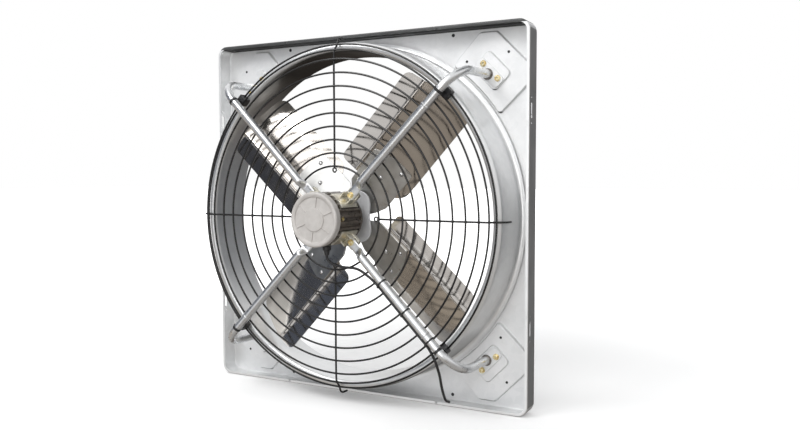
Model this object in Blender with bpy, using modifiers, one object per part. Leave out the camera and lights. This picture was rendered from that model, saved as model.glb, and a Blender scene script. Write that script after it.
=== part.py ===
"""Direct-drive panel exhaust fan: a square galvanised panel with a bell mouth, a wire guard,
four tube arms that carry the motor, and a four-blade rotor.

World axes: X to the right, Z up, and the motor side faces -Y. The panel's back lies in the plane Y = 0
and the origin is the point where the fan's axis meets it. Every piece is modelled in the fan frame,
the empty "fan_frame": x to the right, y up, z forward along the fan's axis, towards the motor side.
All lengths are metres.
"""
import math

import bmesh
import bpy
from mathutils import Matrix, Vector

# ---- driving dimensions -------------------------------------------------------------------------
GAP = 0.0003                      # clearance between pieces that touch

PANEL_SIZE = 1.000                # side of the square panel
SHEET = 0.002                     # sheet metal thickness
RIM_DEPTH = 0.054                 # how far the panel's rim stands forward of its back
RIM_CORNER = 0.030                # outer radius of the rim's corners
HEM = 0.007                       # width of the hem turned inwards at the rim's front edge

THROAT_R = 0.4395                 # inner radius of the bell mouth
MOUTH_R = 0.4620                  # mid radius of the bell mouth's outer wall
MOUTH_BACK = 0.020                # where the inner wall ends, ahead of the panel's back
MOUTH_FRONT = 0.146               # front of the rolled lip

FACE_HOLE_R = 0.0035              # small holes along the panel's edges
FACE_HOLE_INSET = 0.018           # their distance from the edge
FACE_HOLE_ALONG = 0.267           # and from the middle of the side

PAD_RISE = 0.008                  # height of the embossed corner pad
PAD_EDGE = 0.015                  # its distance from the panel's edge
PAD_CHAMFER = 0.090               # its cut corner
PAD_REACH = 0.140                 # how far it runs along the panel's edge
PAD_NEAR = 0.262                  # its corner beside the bell mouth
FOOT_PAD_RISE = 0.005             # height of the foot pad on top of the corner pad
FOOT_PAD_SIZE = (0.070, 0.094)    # foot pad, along the radius and across it
FOOT_RADIUS = 0.538               # distance of the foot bolts' line from the fan's axis
FOOT_BOLT_SPREAD = 0.028          # half distance between the two bolts of a foot
FOOT_SIZE = (0.034, 0.086, 0.004) # foot plate
FOOT_SEAT = SHEET + PAD_RISE + FOOT_PAD_RISE + GAP      # depth of the foot plate's underside

TUBE_R = 0.0115                   # arm tube
ARM_DEPTH = 0.193                 # the arms' straight run ahead of the panel's back
ARM_OUTER = 0.527                 # distance of an arm's leg from the fan's axis
ARM_INNER = 0.112                 # where the tube meets its flattened end
ARM_BEND = 0.070                  # bend radius of the tube's centre line
TAB_SIZE = (0.046, 0.026, 0.005)  # an arm's flattened end
TAB_DEPTH = ARM_DEPTH - 0.009     # middle of its thickness
CLIP_RADIUS = 0.450               # guard clips on the arms
CLIP_SHEET = 0.0023
CLIP_WIDTH = 0.012

WIRE_R = 0.0026                   # guard wire
GUARD_FLAT = 0.172                # depth of the flat part of the guard
GUARD_INNER_R = 0.137             # innermost guard ring
GUARD_PITCH = 0.0349              # spacing of the guard rings
GUARD_RINGS = 9                   # rings at that spacing
GUARD_SIDES = 32                  # straight stretches that make up one ring
GUARD_EDGE = ((0.4410, 0.1665), (0.4560, 0.1560))   # the two closer outer rings: radius, depth
GUARD_HOOK = ((0.4700, 0.147), (0.4760, 0.136), (0.4770, 0.116))    # radial wires over the lip

CAP_R = 0.0710                    # motor cap
CAP_FRONT = 0.267
CAP_WALL = 0.0025
HOUSING_R = 0.0700                # motor housing over its fins
HOUSING_FRONT = 0.246
HOUSING_BACK = 0.145
HOUSING_BORE = 0.0560
FIN_COUNT = 26
FIN_HEIGHT = 0.0070
SHIELD_BACK = 0.127               # back of the drive-end shield
SHAFT_R = 0.0095
SHAFT_BACK = 0.068
BEARING_R = 0.0200
BEARING_WIDTH = 0.0120
CORE_R = 0.0360                   # rotor core, inside the stator
STATOR_R = 0.0557
STATOR_DEPTH = (0.158, 0.222)
LUG_SIZE = (0.044, 0.034)         # motor lug, along the radius and across it
LUG_RADIUS = 0.080                # middle of a lug
LUG_DEPTH = (0.170, 0.1805)       # back and front of a lug
LUG_BOLT_RADIUS = ARM_INNER - 0.025

TIP_R = 0.4250                    # blade tip radius
BLADE_ROOT = 0.112                # radius where a blade starts
BLADE_PITCH = math.radians(23.0)
BLADE_LEAD = -0.128               # the blade's forward edge, across the blade's own face
BLADE_TRAIL = 0.078               # the blade's rear edge
BLADE_CREASE = -0.072             # line of the pressed crease
BLADE_FLAT_END = 0.045            # where the rear part starts to fall back
BLADE_SHEET = 0.0025
BLADE_CORNER = 0.024              # radius of the blade's tip corners
BLADE_DEPTH = 0.076               # depth of the blade's radial line
ROTOR_ANGLE = math.radians(2.0)   # how the rotor stands at rest
HUB_R = 0.0640                    # hub flange
HUB_DEPTH = (0.0985, 0.1045)      # back and front of the flange
BOSS_R = 0.0300
BOSS_DEPTH = (0.072, 0.116)       # back and front of the boss
PLATE_SHEET = 0.004               # hub spider's plates
PLATE_END_R = 0.205
RIVETS = ((0.180, -0.044), (0.184, 0.030), (0.140, -0.008))     # along the radius, across the blade
RIVET_R = 0.0028

CORD_R = 0.0035
CORD_SIDE = TUBE_R + CORD_R + 0.0006      # its distance from the axis of the arm that it follows
CORD_LEAVES_ARM = 0.425           # distance from the fan's axis where it leaves the arm
CORD_ALONG_ARM = (0.220, 0.260, 0.310, 0.360, 0.405, CORD_LEAVES_ARM)
CORD_FREE_END = ((0.3040, -0.3380, 0.1890), (0.3100, -0.3620, 0.1820), (0.3090, -0.3880, 0.1660),
                 (0.3010, -0.4200, 0.1400), (0.2930, -0.4500, 0.1120), (0.2870, -0.4730, 0.0860),
                 (0.2840, -0.4850, 0.0600))
CORD_SPACING = 0.012
GLAND_DEPTH = 0.207               # the cable gland, under the motor
GLAND_TIP = 0.0950
TIE_RADII = (0.225, 0.322, 0.418)
TIE_SHEET = 0.0015
TIE_WIDTH = 0.0048

QUADRANTS = {"top_right": 45.0, "top_left": 135.0, "bottom_left": 225.0, "bottom_right": 315.0}


# ---- scene and materials ------------------------------------------------------------------------
def clear_scene():
    for obj in list(bpy.data.objects):
        bpy.data.objects.remove(obj, do_unlink=True)


def new_collection(name):
    collection = bpy.data.collections.new(name)
    bpy.context.scene.collection.children.link(collection)
    return collection


def material(name, colour, roughness, metallic):
    mat = bpy.data.materials.new(name)
    mat.use_nodes = True
    shader = mat.node_tree.nodes["Principled BSDF"]
    shader.inputs["Base Color"].default_value = (*colour, 1.0)
    shader.inputs["Roughness"].default_value = roughness
    shader.inputs["Metallic"].default_value = metallic
    return mat


clear_scene()
PARTS = new_collection("panel_exhaust_fan")
CUTTERS = new_collection("cutters")

GALVANISED = material("galvanised_steel", (0.62, 0.64, 0.65), 0.38, 0.9)
TUBE_ZINC = material("tube_zinc", (0.58, 0.60, 0.61), 0.30, 1.0)
BLACK_WIRE = material("black_wire", (0.012, 0.012, 0.012), 0.35, 0.0)
STAINLESS = material("stainless_steel", (0.55, 0.51, 0.47), 0.14, 1.0)
CAP_GREY = material("cap_grey", (0.56, 0.53, 0.50), 0.45, 0.0)
CAST_DARK = material("cast_dark", (0.06, 0.05, 0.045), 0.42, 0.8)
YELLOW_ZINC = material("yellow_zinc", (0.62, 0.50, 0.24), 0.32, 1.0)
BRIGHT_STEEL = material("bright_steel", (0.70, 0.70, 0.70), 0.22, 1.0)
LAMINATION = material("lamination_steel", (0.20, 0.20, 0.21), 0.50, 0.9)
CORD_BLACK = material("cord_black", (0.015, 0.015, 0.016), 0.55, 0.0)
TIE_BLACK = material("tie_black", (0.020, 0.020, 0.022), 0.45, 0.0)


# ---- frames -------------------------------------------------------------------------------------
def empty(name, parent=None, location=(0, 0, 0), rotation=(0, 0, 0)):
    obj = bpy.data.objects.new(name, None)
    obj.empty_display_size = 0.05
    obj.location = location
    obj.rotation_euler = rotation
    obj.parent = parent
    PARTS.objects.link(obj)
    return obj


FAN = empty("fan_frame", rotation=(math.radians(90.0), 0, 0))
ROTOR = empty("rotor_axis", parent=FAN, rotation=(0, 0, ROTOR_ANGLE))


# ---- builders -----------------------------------------------------------------------------------
def place(obj, mat, parent, location=(0, 0, 0), rotation=(0, 0, 0), cutter=False):
    obj.location = location
    obj.rotation_euler = rotation
    obj.parent = parent
    if cutter:
        obj.hide_render = True
        obj.display_type = "WIRE"
        CUTTERS.objects.link(obj)
        return obj
    obj.data.materials.append(mat)
    PARTS.objects.link(obj)
    return obj


def smooth(mesh, angle=35.0):
    mesh.shade_smooth()
    mesh.set_sharp_from_angle(angle=math.radians(angle))


def finish_mesh(name, bm, mat, parent=FAN, cutter=False):
    bmesh.ops.recalc_face_normals(bm, faces=bm.faces)
    mesh = bpy.data.meshes.new(name)
    bm.to_mesh(mesh)
    bm.free()
    smooth(mesh)
    obj = bpy.data.objects.new(name, mesh)
    return place(obj, mat, parent, cutter=cutter)


def add_box(bm, size, centre, turn=0.0, round_edges=0.0, segments=3):
    """A box in a bmesh, turned about z, with its four upright edges rounded."""
    made = bmesh.ops.create_cube(bm, size=1.0)
    verts = made["verts"]
    bmesh.ops.scale(bm, vec=Vector(size), verts=verts)
    if round_edges > 0.0:
        edges = {e for v in verts for e in v.link_edges}
        upright = [e for e in edges if abs(e.verts[0].co.z - e.verts[1].co.z) > size[2] * 0.5]
        made = bmesh.ops.bevel(bm, geom=upright, offset=round_edges, segments=segments,
                               affect="EDGES", profile=0.5)
        verts = list({v for f in made["faces"] for v in f.verts})
    move = Matrix.Rotation(turn, 4, "Z") @ Matrix.Translation(Vector(centre))
    bmesh.ops.transform(bm, matrix=move, verts=verts)
    return verts


def box(name, size, centre, mat=None, parent=FAN, turn=0.0, round_edges=0.0, segments=3, cutter=False):
    bm = bmesh.new()
    add_box(bm, size, centre, turn, round_edges, segments)
    return finish_mesh(name, bm, mat, parent, cutter=cutter)


def cut_cylinder(name, radius, z0, z1, parent=FAN, at=(0.0, 0.0), sides=12):
    bm = bmesh.new()
    bmesh.ops.create_cone(bm, cap_ends=True, segments=sides, radius1=radius, radius2=radius,
                          depth=z1 - z0)
    bmesh.ops.translate(bm, vec=(at[0], at[1], (z0 + z1) / 2), verts=bm.verts)
    return finish_mesh(name, bm, None, parent, cutter=True)


def turned(name, profile, mat, parent=FAN, steps=48, location=(0, 0, 0), rotation=(0, 0, 0)):
    """A solid of revolution about z, from a closed outline of (radius, depth) points."""
    mesh = bpy.data.meshes.new(name)
    points = [(r, 0.0, z) for r, z in profile]
    on_axis = profile[0][0] == 0.0
    count = len(points)
    edges = [(i, i + 1) for i in range(count - 1)]
    if not on_axis:
        edges.append((count - 1, 0))
    mesh.from_pydata(points, edges, [])
    obj = place(bpy.data.objects.new(name, mesh), mat, parent, location, rotation)
    screw = obj.modifiers.new("turn", "SCREW")
    screw.axis = "Z"
    screw.angle = math.tau
    screw.steps = steps
    screw.render_steps = steps
    screw.use_merge_vertices = True
    screw.merge_threshold = 0.00001
    screw.use_smooth_shade = True
    return obj


def ring_outline(inner, outer, z0, z1):
    """Outline of a plain ring, down its outer side."""
    return [(inner, z1), (outer, z1), (outer, z0), (inner, z0)]


def disc_outline(radius, z0, z1):
    return [(0.0, z1), (radius, z1), (radius, z0), (0.0, z0)]


def thick_outline(points, thickness):
    """Closed outline of a sheet whose middle line runs through points (radius, depth)."""
    left, right = [], []
    last = len(points) - 1
    for i, here in enumerate(points):
        before = Vector(points[max(i - 1, 0)])
        after = Vector(points[min(i + 1, last)])
        middle = Vector(here)
        side_in = (middle - before).normalized() if i > 0 else (after - middle).normalized()
        side_out = (after - middle).normalized() if i < last else side_in
        along = (side_in + side_out).normalized()
        normal = Vector((-along.y, along.x))
        reach = thickness / 2 / max(normal.dot(Vector((-side_in.y, side_in.x))), 0.5)
        left.append(tuple(middle + normal * reach))
        right.append(tuple(middle - normal * reach))
    return left + right[::-1]


def arc(centre, radius, start, end, count):
    """Points (radius, depth) on an arc, angles in degrees."""
    points = []
    for i in range(count + 1):
        angle = math.radians(start + (end - start) * i / count)
        points.append((centre[0] + radius * math.cos(angle), centre[1] + radius * math.sin(angle)))
    return points


def boolean(obj, other, operation="DIFFERENCE"):
    mod = obj.modifiers.new(operation.lower(), "BOOLEAN")
    mod.operation = operation
    mod.object = other
    mod.solver = "EXACT"
    return mod


def curve_to_mesh(name, curve, lift=0.0):
    """The curve's own solid as a mesh, with its caps welded, raised by lift."""
    holder = bpy.data.objects.new(name, curve)
    bpy.context.scene.collection.objects.link(holder)
    graph = bpy.context.evaluated_depsgraph_get()
    mesh = bpy.data.meshes.new_from_object(holder.evaluated_get(graph))
    bpy.data.objects.remove(holder, do_unlink=True)
    bpy.data.curves.remove(curve)
    bm = bmesh.new()
    bm.from_mesh(mesh)
    bmesh.ops.remove_doubles(bm, verts=bm.verts, dist=0.00001)
    bmesh.ops.translate(bm, vec=(0, 0, lift), verts=bm.verts)
    bmesh.ops.recalc_face_normals(bm, faces=bm.faces)
    bm.to_mesh(mesh)
    bm.free()
    mesh.name = name
    smooth(mesh)
    return mesh


def tube_mesh(name, path, radius, resolution=2):
    """A closed mesh of a round bar along a path, with welded caps."""
    curve = bpy.data.curves.new(name, "CURVE")
    curve.dimensions = "3D"
    curve.bevel_depth = radius
    curve.bevel_resolution = resolution
    curve.use_fill_caps = True
    spline = curve.splines.new("POLY")
    spline.points.add(len(path) - 1)
    for point, co in zip(spline.points, path):
        point.co = (*co, 1.0)
    return curve_to_mesh(name, curve)


def prism_mesh(name, outline, z0, z1):
    """A closed mesh of a flat outline (x, y), from z0 up to z1."""
    curve = bpy.data.curves.new(name, "CURVE")
    curve.dimensions = "2D"
    curve.fill_mode = "BOTH"
    curve.extrude = (z1 - z0) / 2
    spline = curve.splines.new("POLY")
    spline.points.add(len(outline) - 1)
    for point, co in zip(spline.points, outline):
        point.co = (co[0], co[1], 0.0, 1.0)
    spline.use_cyclic_u = True
    return curve_to_mesh(name, curve, lift=(z0 + z1) / 2)


def filleted(points, radius, count=6):
    """A path through points with each inner corner rounded."""
    path = [Vector(points[0])]
    for before, here, after in zip(points, points[1:], points[2:]):
        before, here, after = Vector(before), Vector(here), Vector(after)
        d_in = (here - before).normalized()
        d_out = (after - here).normalized()
        turn = d_in.angle(d_out)
        reach = radius * math.tan(turn / 2)
        centre = here - d_in * reach + (d_out - d_in * d_in.dot(d_out)).normalized() * radius
        first = here - d_in * reach - centre
        axis = d_in.cross(d_out).normalized()
        for i in range(count + 1):
            path.append(centre + Matrix.Rotation(turn * i / count, 3, axis) @ first)
    path.append(Vector(points[-1]))
    return path


def smooth_route(points, spacing):
    """Points on a Catmull-Rom curve through the route's own points, about spacing apart."""
    knots = [Vector(p) for p in points]
    knots = [knots[0] * 2 - knots[1]] + knots + [knots[-1] * 2 - knots[-2]]
    dense = []
    for a, b, c, d in zip(knots, knots[1:], knots[2:], knots[3:]):
        for i in range(24):
            t = i / 24
            dense.append(0.5 * ((2 * b) + (c - a) * t + (2 * a - 5 * b + 4 * c - d) * t * t
                                + (3 * b - a - 3 * c + d) * t * t * t))
    dense.append(knots[-2])
    total = sum((q - p).length for p, q in zip(dense, dense[1:]))
    count = max(2, round(total / spacing))
    step = total / count
    route, walked = [dense[0]], 0.0
    for p, q in zip(dense, dense[1:]):
        length = (q - p).length
        while walked + length >= step * len(route) - 1e-9 and len(route) < count:
            t = (step * len(route) - walked) / length
            route.append(p.lerp(q, t))
        walked += length
    route.append(dense[-1])
    return route


def radial(radius, tangent, depth, angle):
    """Fan-frame point from polar terms: along the radius, across it, and forward."""
    c, s = math.cos(angle), math.sin(angle)
    return Vector((radius * c - tangent * s, radius * s + tangent * c, depth))


# ---- the panel ----------------------------------------------------------------------------------
def pad_prism(name, inset, z0, z1):
    """The embossed corner pad of the first quadrant, as a prism shrunk by inset."""
    edge = PANEL_SIZE / 2 - PAD_EDGE
    corner = edge - PAD_CHAMFER
    near = edge - PAD_REACH
    far = PAD_NEAR + PAD_REACH
    outline = [(PAD_NEAR, far), (near, edge), (corner, edge), (edge, corner), (edge, near), (far, PAD_NEAR)]
    centre = Vector((0.385, 0.385))
    shrink = 1.0 - inset / (edge - centre.x)
    return prism_mesh(name, [centre + (Vector(p) - centre) * shrink for p in outline], z0, z1)


def panel_holes():
    """Small holes along the panel's four sides."""
    holes = []
    near = PANEL_SIZE / 2 - FACE_HOLE_INSET
    for side in range(4):
        turn = Matrix.Rotation(math.pi / 2 * side, 3, "Z")
        for along in (-FACE_HOLE_ALONG, FACE_HOLE_ALONG):
            at = turn @ Vector((along, near, 0))
            name = f"hole_{side}_{along > 0}"
            holes.append(cut_cylinder(name, FACE_HOLE_R, -0.01, 0.006, at=at.xy, sides=10))
    return holes


def make_panel():
    half = PANEL_SIZE / 2
    bm = bmesh.new()
    add_box(bm, (PANEL_SIZE, PANEL_SIZE, RIM_DEPTH), (0, 0, RIM_DEPTH / 2),
            round_edges=RIM_CORNER, segments=5)
    panel = finish_mesh("panel", bm, GALVANISED)
    inner = 2 * (half - SHEET)
    mouth = 2 * (half - HEM)
    tray = box("tray_cut", (inner, inner, RIM_DEPTH - 2 * SHEET), (0, 0, RIM_DEPTH / 2),
               round_edges=RIM_CORNER - SHEET, segments=5, cutter=True)
    front = box("front_cut", (mouth, mouth, 0.04), (0, 0, RIM_DEPTH),
                round_edges=RIM_CORNER - HEM, segments=5, cutter=True)
    opening = cut_cylinder("opening_cut", MOUTH_R + 0.004, -0.01, 0.03, sides=48)
    boolean(panel, tray)
    boolean(panel, front)
    for angle in (0, 90, 180, 270):
        turn = (0, 0, math.radians(angle))
        raised = bpy.data.objects.new(f"pad_{angle}", pad_prism("pad", 0.0, 0.001, SHEET + PAD_RISE))
        place(raised, None, FAN, rotation=turn, cutter=True)
        boolean(panel, raised, "UNION")
        diagonal = math.radians(angle + 45)
        foot_pad = box(f"foot_pad_{angle}", (*FOOT_PAD_SIZE, FOOT_PAD_RISE + 0.002),
                       (FOOT_RADIUS, 0, SHEET + PAD_RISE + FOOT_PAD_RISE / 2 - 0.001), turn=diagonal,
                       round_edges=0.012, segments=3, cutter=True)
        boolean(panel, foot_pad, "UNION")
        hollow = bpy.data.objects.new(f"hollow_{angle}", pad_prism("hollow", 0.003, -0.005, PAD_RISE))
        place(hollow, None, FAN, rotation=turn, cutter=True)
        boolean(panel, hollow)
    boolean(panel, opening)
    for hole in panel_holes():
        boolean(panel, hole)
    return panel


def make_bell_mouth():
    lip = (MOUTH_R - THROAT_R - SHEET / 2) / 2
    middle = THROAT_R + SHEET / 2 + lip
    roll = MOUTH_FRONT - SHEET / 2 - lip
    flange = SHEET + PAD_RISE + GAP + SHEET / 2
    line = [(MOUTH_R + 0.016, flange), (MOUTH_R + 0.008, flange)]
    line += arc((MOUTH_R + 0.008, flange + 0.008), 0.008, 270, 180, 2)[1:]
    line += arc((middle, roll), lip, 0, 180, 5)
    line += [(THROAT_R + SHEET / 2, MOUTH_BACK)]
    return turned("bell_mouth", thick_outline(line, SHEET), GALVANISED, steps=48)


# ---- guard --------------------------------------------------------------------------------------
def guard_rings():
    rings = [(GUARD_INNER_R + GUARD_PITCH * i, GUARD_FLAT) for i in range(GUARD_RINGS)]
    return rings + list(GUARD_EDGE)


def make_guard():
    """Concentric wires on four radial wires that hook over the lip, as one welded body."""
    bm = bmesh.new()
    for radius, depth in guard_rings():
        section = bmesh.ops.create_circle(bm, segments=4, radius=WIRE_R,
                                          matrix=Matrix.Translation((radius, 0, depth))
                                          @ Matrix.Rotation(math.radians(90), 4, "X")
                                          @ Matrix.Rotation(math.radians(45), 4, "Z"))
        loop = section["verts"] + list({e for v in section["verts"] for e in v.link_edges})
        bmesh.ops.spin(bm, geom=loop, axis=(0, 0, 1), cent=(0, 0, 0), angle=math.tau,
                       steps=GUARD_SIDES, use_merge=True)
    guard = finish_mesh("wire_guard", bm, BLACK_WIRE)
    under = WIRE_R * 1.2
    (near_r, near_z), (far_r, far_z) = GUARD_EDGE
    spoke = [(GUARD_INNER_R - 0.006, 0, GUARD_FLAT - under), (0.425, 0, GUARD_FLAT - under),
             (near_r, 0, near_z - under), (far_r, 0, far_z - under)]
    spoke += [(r, 0, z) for r, z in GUARD_HOOK]
    for i in range(4):
        mesh = tube_mesh(f"spoke_{i}", spoke, WIRE_R, resolution=1)
        wire = place(bpy.data.objects.new(f"spoke_{i}", mesh), None, FAN,
                     rotation=(0, 0, math.radians(90 * i)), cutter=True)
        boolean(guard, wire, "UNION")
    return guard


# ---- arms ---------------------------------------------------------------------------------------
def make_arm(place_name, angle):
    """A bent tube from its foot on the panel to a flattened, bolted end at the motor."""
    foot_top = FOOT_SEAT + FOOT_SIZE[2]
    path = filleted([radial(ARM_OUTER, 0, foot_top + GAP, angle),
                     radial(ARM_OUTER - 0.004, 0, ARM_DEPTH, angle),
                     radial(ARM_INNER, 0, ARM_DEPTH, angle)], ARM_BEND)
    mesh = tube_mesh(f"arm_{place_name}", path, TUBE_R)
    arm = place(bpy.data.objects.new(f"arm_{place_name}", mesh), TUBE_ZINC, FAN)
    tab = box(f"tab_{place_name}", TAB_SIZE, (ARM_INNER - 0.013, 0, TAB_DEPTH), turn=angle,
              round_edges=0.006, segments=2, cutter=True)
    boolean(arm, tab, "UNION")
    hole = cut_cylinder(f"tab_hole_{place_name}", 0.0043, ARM_DEPTH - 0.03, ARM_DEPTH + 0.03,
                        at=radial(LUG_BOLT_RADIUS, 0, 0, angle).xy)
    boolean(arm, hole)
    return arm


def make_foot(place_name, angle):
    """The plate that a tube stands on, with its two bolt holes."""
    centre = (FOOT_RADIUS - 0.006, 0, FOOT_SEAT + FOOT_SIZE[2] / 2)
    foot = box(f"arm_foot_{place_name}", FOOT_SIZE, centre, GALVANISED, turn=angle, round_edges=0.010)
    for side in (-1, 1):
        at = radial(FOOT_RADIUS, side * FOOT_BOLT_SPREAD, 0, angle).xy
        boolean(foot, cut_cylinder(f"foot_hole_{place_name}_{side}", 0.0045, 0, 0.05, at=at))
    return foot


def bolt(name, at, seat, back, head_r=0.0085, head_h=0.0055, shank_r=0.0036):
    """A hexagon bolt along z: its head above seat, its shank down to back."""
    head = [(0.0, seat + head_h), (head_r * 0.80, seat + head_h), (head_r, seat + head_h * 0.72),
            (head_r, seat), (shank_r, seat), (shank_r, back), (0.0, back)]
    return turned(name, head, YELLOW_ZINC, steps=6, location=(at[0], at[1], 0.0))


def make_foot_bolts(place_name, angle):
    for number, side in enumerate((-1, 1), start=1):
        at = radial(FOOT_RADIUS, side * FOOT_BOLT_SPREAD, 0, angle)
        bolt(f"foot_bolt_{place_name}_{number}", at, FOOT_SEAT + FOOT_SIZE[2] + GAP, FOOT_SEAT)


def make_clip(place_name, angle):
    """A ring round the arm that holds the guard's outer wires."""
    inner = TUBE_R + GAP
    profile = ring_outline(inner, inner + CLIP_SHEET, -CLIP_WIDTH / 2, CLIP_WIDTH / 2)
    centre = radial(CLIP_RADIUS, 0, ARM_DEPTH, angle)
    return turned(f"guard_clip_{place_name}", profile, TIE_BLACK, steps=16,
                  location=centre, rotation=(0, math.radians(90), angle))


# ---- motor --------------------------------------------------------------------------------------
def make_motor_cap():
    back = HOUSING_FRONT + GAP
    inside = CAP_FRONT - 0.0070
    outline = [(0.0, CAP_FRONT - 0.0020), (0.0300, CAP_FRONT - 0.0020), (0.0310, CAP_FRONT - 0.0035),
               (0.0590, CAP_FRONT - 0.0035), (0.0620, CAP_FRONT), (CAP_R - 0.0050, CAP_FRONT)]
    outline += arc((CAP_R - 0.0050, CAP_FRONT - 0.0050), 0.0050, 80, 0, 2)
    outline += [(CAP_R, back), (CAP_R - CAP_WALL, back), (CAP_R - CAP_WALL, inside), (0.0, inside)]
    return turned("motor_cap", outline, CAP_GREY, steps=32)


def make_housing():
    """A finned barrel, open at both ends, with four lugs for the arms."""
    outline = []
    for i in range(FIN_COUNT * 4):
        out = HOUSING_R if i % 4 in (1, 2) else HOUSING_R - FIN_HEIGHT
        angle = math.tau * (i + 0.5) / (FIN_COUNT * 4)
        outline.append((out * math.cos(angle), out * math.sin(angle)))
    mesh = prism_mesh("motor_housing", outline, HOUSING_BACK, HOUSING_FRONT)
    housing = place(bpy.data.objects.new("motor_housing", mesh), CAST_DARK, FAN)
    for place_name, degrees in QUADRANTS.items():
        angle = math.radians(degrees)
        lug = box(f"lug_{place_name}", (*LUG_SIZE, LUG_DEPTH[1] - LUG_DEPTH[0]),
                  (LUG_RADIUS, 0, sum(LUG_DEPTH) / 2), turn=angle, round_edges=0.006, segments=2,
                  cutter=True)
        boolean(housing, lug, "UNION")
    boolean(housing, cut_cylinder("housing_bore", HOUSING_BORE, 0.10, 0.30, sides=36))
    for place_name, degrees in QUADRANTS.items():
        at = radial(LUG_BOLT_RADIUS, 0, 0, math.radians(degrees)).xy
        boolean(housing, cut_cylinder(f"lug_hole_{place_name}", 0.0040, 0.15, 0.20, at=at))
    return housing


def make_lug_bolt(place_name, angle):
    """The bolt that holds an arm's flattened end on its lug."""
    at = radial(LUG_BOLT_RADIUS, 0, 0, angle)
    bolt(f"lug_bolt_{place_name}", at, TAB_DEPTH + TAB_SIZE[2] / 2 + GAP, LUG_DEPTH[0] - 0.006)


def make_end_shields():
    """The drive-end and cap-end shields, each with a seat for its bearing."""
    seat = BEARING_R + GAP
    hole = SHAFT_R + 0.002
    inside = [(hole, SHIELD_BACK + 0.003), (seat, SHIELD_BACK + 0.003), (seat, SHIELD_BACK + 0.016),
              (0.045, SHIELD_BACK + 0.010), (0.052, HOUSING_BACK - GAP)]
    outside = [(HOUSING_R - 0.003, HOUSING_BACK - GAP), (HOUSING_R - 0.003, HOUSING_BACK - 0.008),
               (HOUSING_R - 0.014, SHIELD_BACK + 0.002), (0.032, SHIELD_BACK), (hole, SHIELD_BACK)]
    turned("drive_end_shield", inside + outside, CAST_DARK, steps=28)
    front = HOUSING_FRONT - GAP
    rim = HOUSING_BORE - 0.0005
    plate = [(seat, front - 0.002), (rim, front - 0.002), (rim, front - 0.008),
             (seat + 0.005, front - 0.008), (seat + 0.005, front - 0.018), (seat, front - 0.018)]
    turned("cap_end_shield", plate, CAST_DARK, steps=28)


def make_motor_inside():
    """The stator and rotor cores, the shaft and its two bearings."""
    back, front = STATOR_DEPTH
    bore = SHAFT_R + GAP
    turned("stator_core", ring_outline(CORE_R + 0.0005, STATOR_R, back, front), LAMINATION, steps=32)
    turned("rotor_core", ring_outline(bore, CORE_R, back + 0.002, front - 0.002), LAMINATION, ROTOR,
           steps=32)
    for name, start in (("bearing_rear", SHIELD_BACK + 0.0035), ("bearing_front", HOUSING_FRONT - 0.0175)):
        turned(name, ring_outline(bore, BEARING_R, start, start + BEARING_WIDTH), BRIGHT_STEEL, steps=20)
    turned("motor_shaft", disc_outline(SHAFT_R, SHAFT_BACK, HOUSING_FRONT - 0.004), BRIGHT_STEEL, ROTOR,
           steps=20)


# ---- rotor --------------------------------------------------------------------------------------
def make_hub():
    """The boss and its flange, welded to four pitched plates that carry the blades."""
    flange_back, flange_front = HUB_DEPTH
    boss_back, boss_front = BOSS_DEPTH
    outline = [(SHAFT_R + GAP, boss_front), (BOSS_R - 0.002, boss_front), (BOSS_R, boss_front - 0.002),
               (BOSS_R, flange_front), (HUB_R, flange_front), (HUB_R, flange_back),
               (BOSS_R - 0.004, flange_back), (BOSS_R - 0.006, boss_back), (SHAFT_R + GAP, boss_back)]
    hub = turned("hub_spider", outline, BRIGHT_STEEL, ROTOR, steps=32)
    top, bottom = BLADE_CREASE + 0.002, 0.055
    plate = [(0.017, 0.016), (0.050, 0.040), (0.085, -top)]
    end = [math.asin(-top / PLATE_END_R), -math.asin(bottom / PLATE_END_R)]
    for i in range(6):
        a = end[0] + (end[1] - end[0]) * i / 5
        plate.append((PLATE_END_R * math.cos(a), PLATE_END_R * math.sin(a)))
    plate += [(0.080, -bottom), (0.050, -0.040), (0.017, -0.016)]
    low = BLADE_SHEET / 2 + GAP
    for index in range(4):
        mesh = prism_mesh(f"plate_{index}", plate[::-1], low, low + PLATE_SHEET)
        arm = place(bpy.data.objects.new(f"plate_{index}", mesh), None, ROTOR, cutter=True)
        arm.matrix_local = blade_frame(index)
        boolean(hub, arm, "UNION")
        for number, (r, v) in enumerate(RIVETS):
            boolean(hub, rivet_hole(f"plate_hole_{index}_{number}", index, r, v))
    turned("hub_nut", ring_outline(0.0114, 0.0165, boss_back - 0.0095, boss_back - 0.0005), YELLOW_ZINC,
           ROTOR, steps=6)


def rivet_hole(name, index, r, v):
    hole = cut_cylinder(name, RIVET_R + 0.0004, -0.02, 0.02, parent=ROTOR, sides=10)
    hole.matrix_local = blade_frame(index) @ Matrix.Translation((r, -v, 0))
    return hole


def make_rivets(index):
    """Round-headed rivets through a hub plate and its blade."""
    front = BLADE_SHEET / 2 + GAP + PLATE_SHEET + GAP
    back = -BLADE_SHEET / 2 - GAP
    for number, (r, v) in enumerate(RIVETS, start=1):
        outline = [(0.0, front + 0.0030), (0.0040, front + 0.0024), (0.0060, front), (RIVET_R, front),
                   (RIVET_R, back), (0.0055, back), (0.0045, back - 0.0022), (0.0, back - 0.0025)]
        rivet = turned(f"blade_rivet_{index + 1}_{number}", outline, BRIGHT_STEEL, ROTOR, steps=8)
        rivet.matrix_local = blade_frame(index) @ Matrix.Translation((r, -v, 0))


def blade_face(v):
    """Height of the blade's face over its pitch plane: both edges fall back behind a flat middle."""
    if v < BLADE_CREASE:
        return (v - BLADE_CREASE) * 0.22
    return -0.10 * max(0.0, v - BLADE_FLAT_END)


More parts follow.
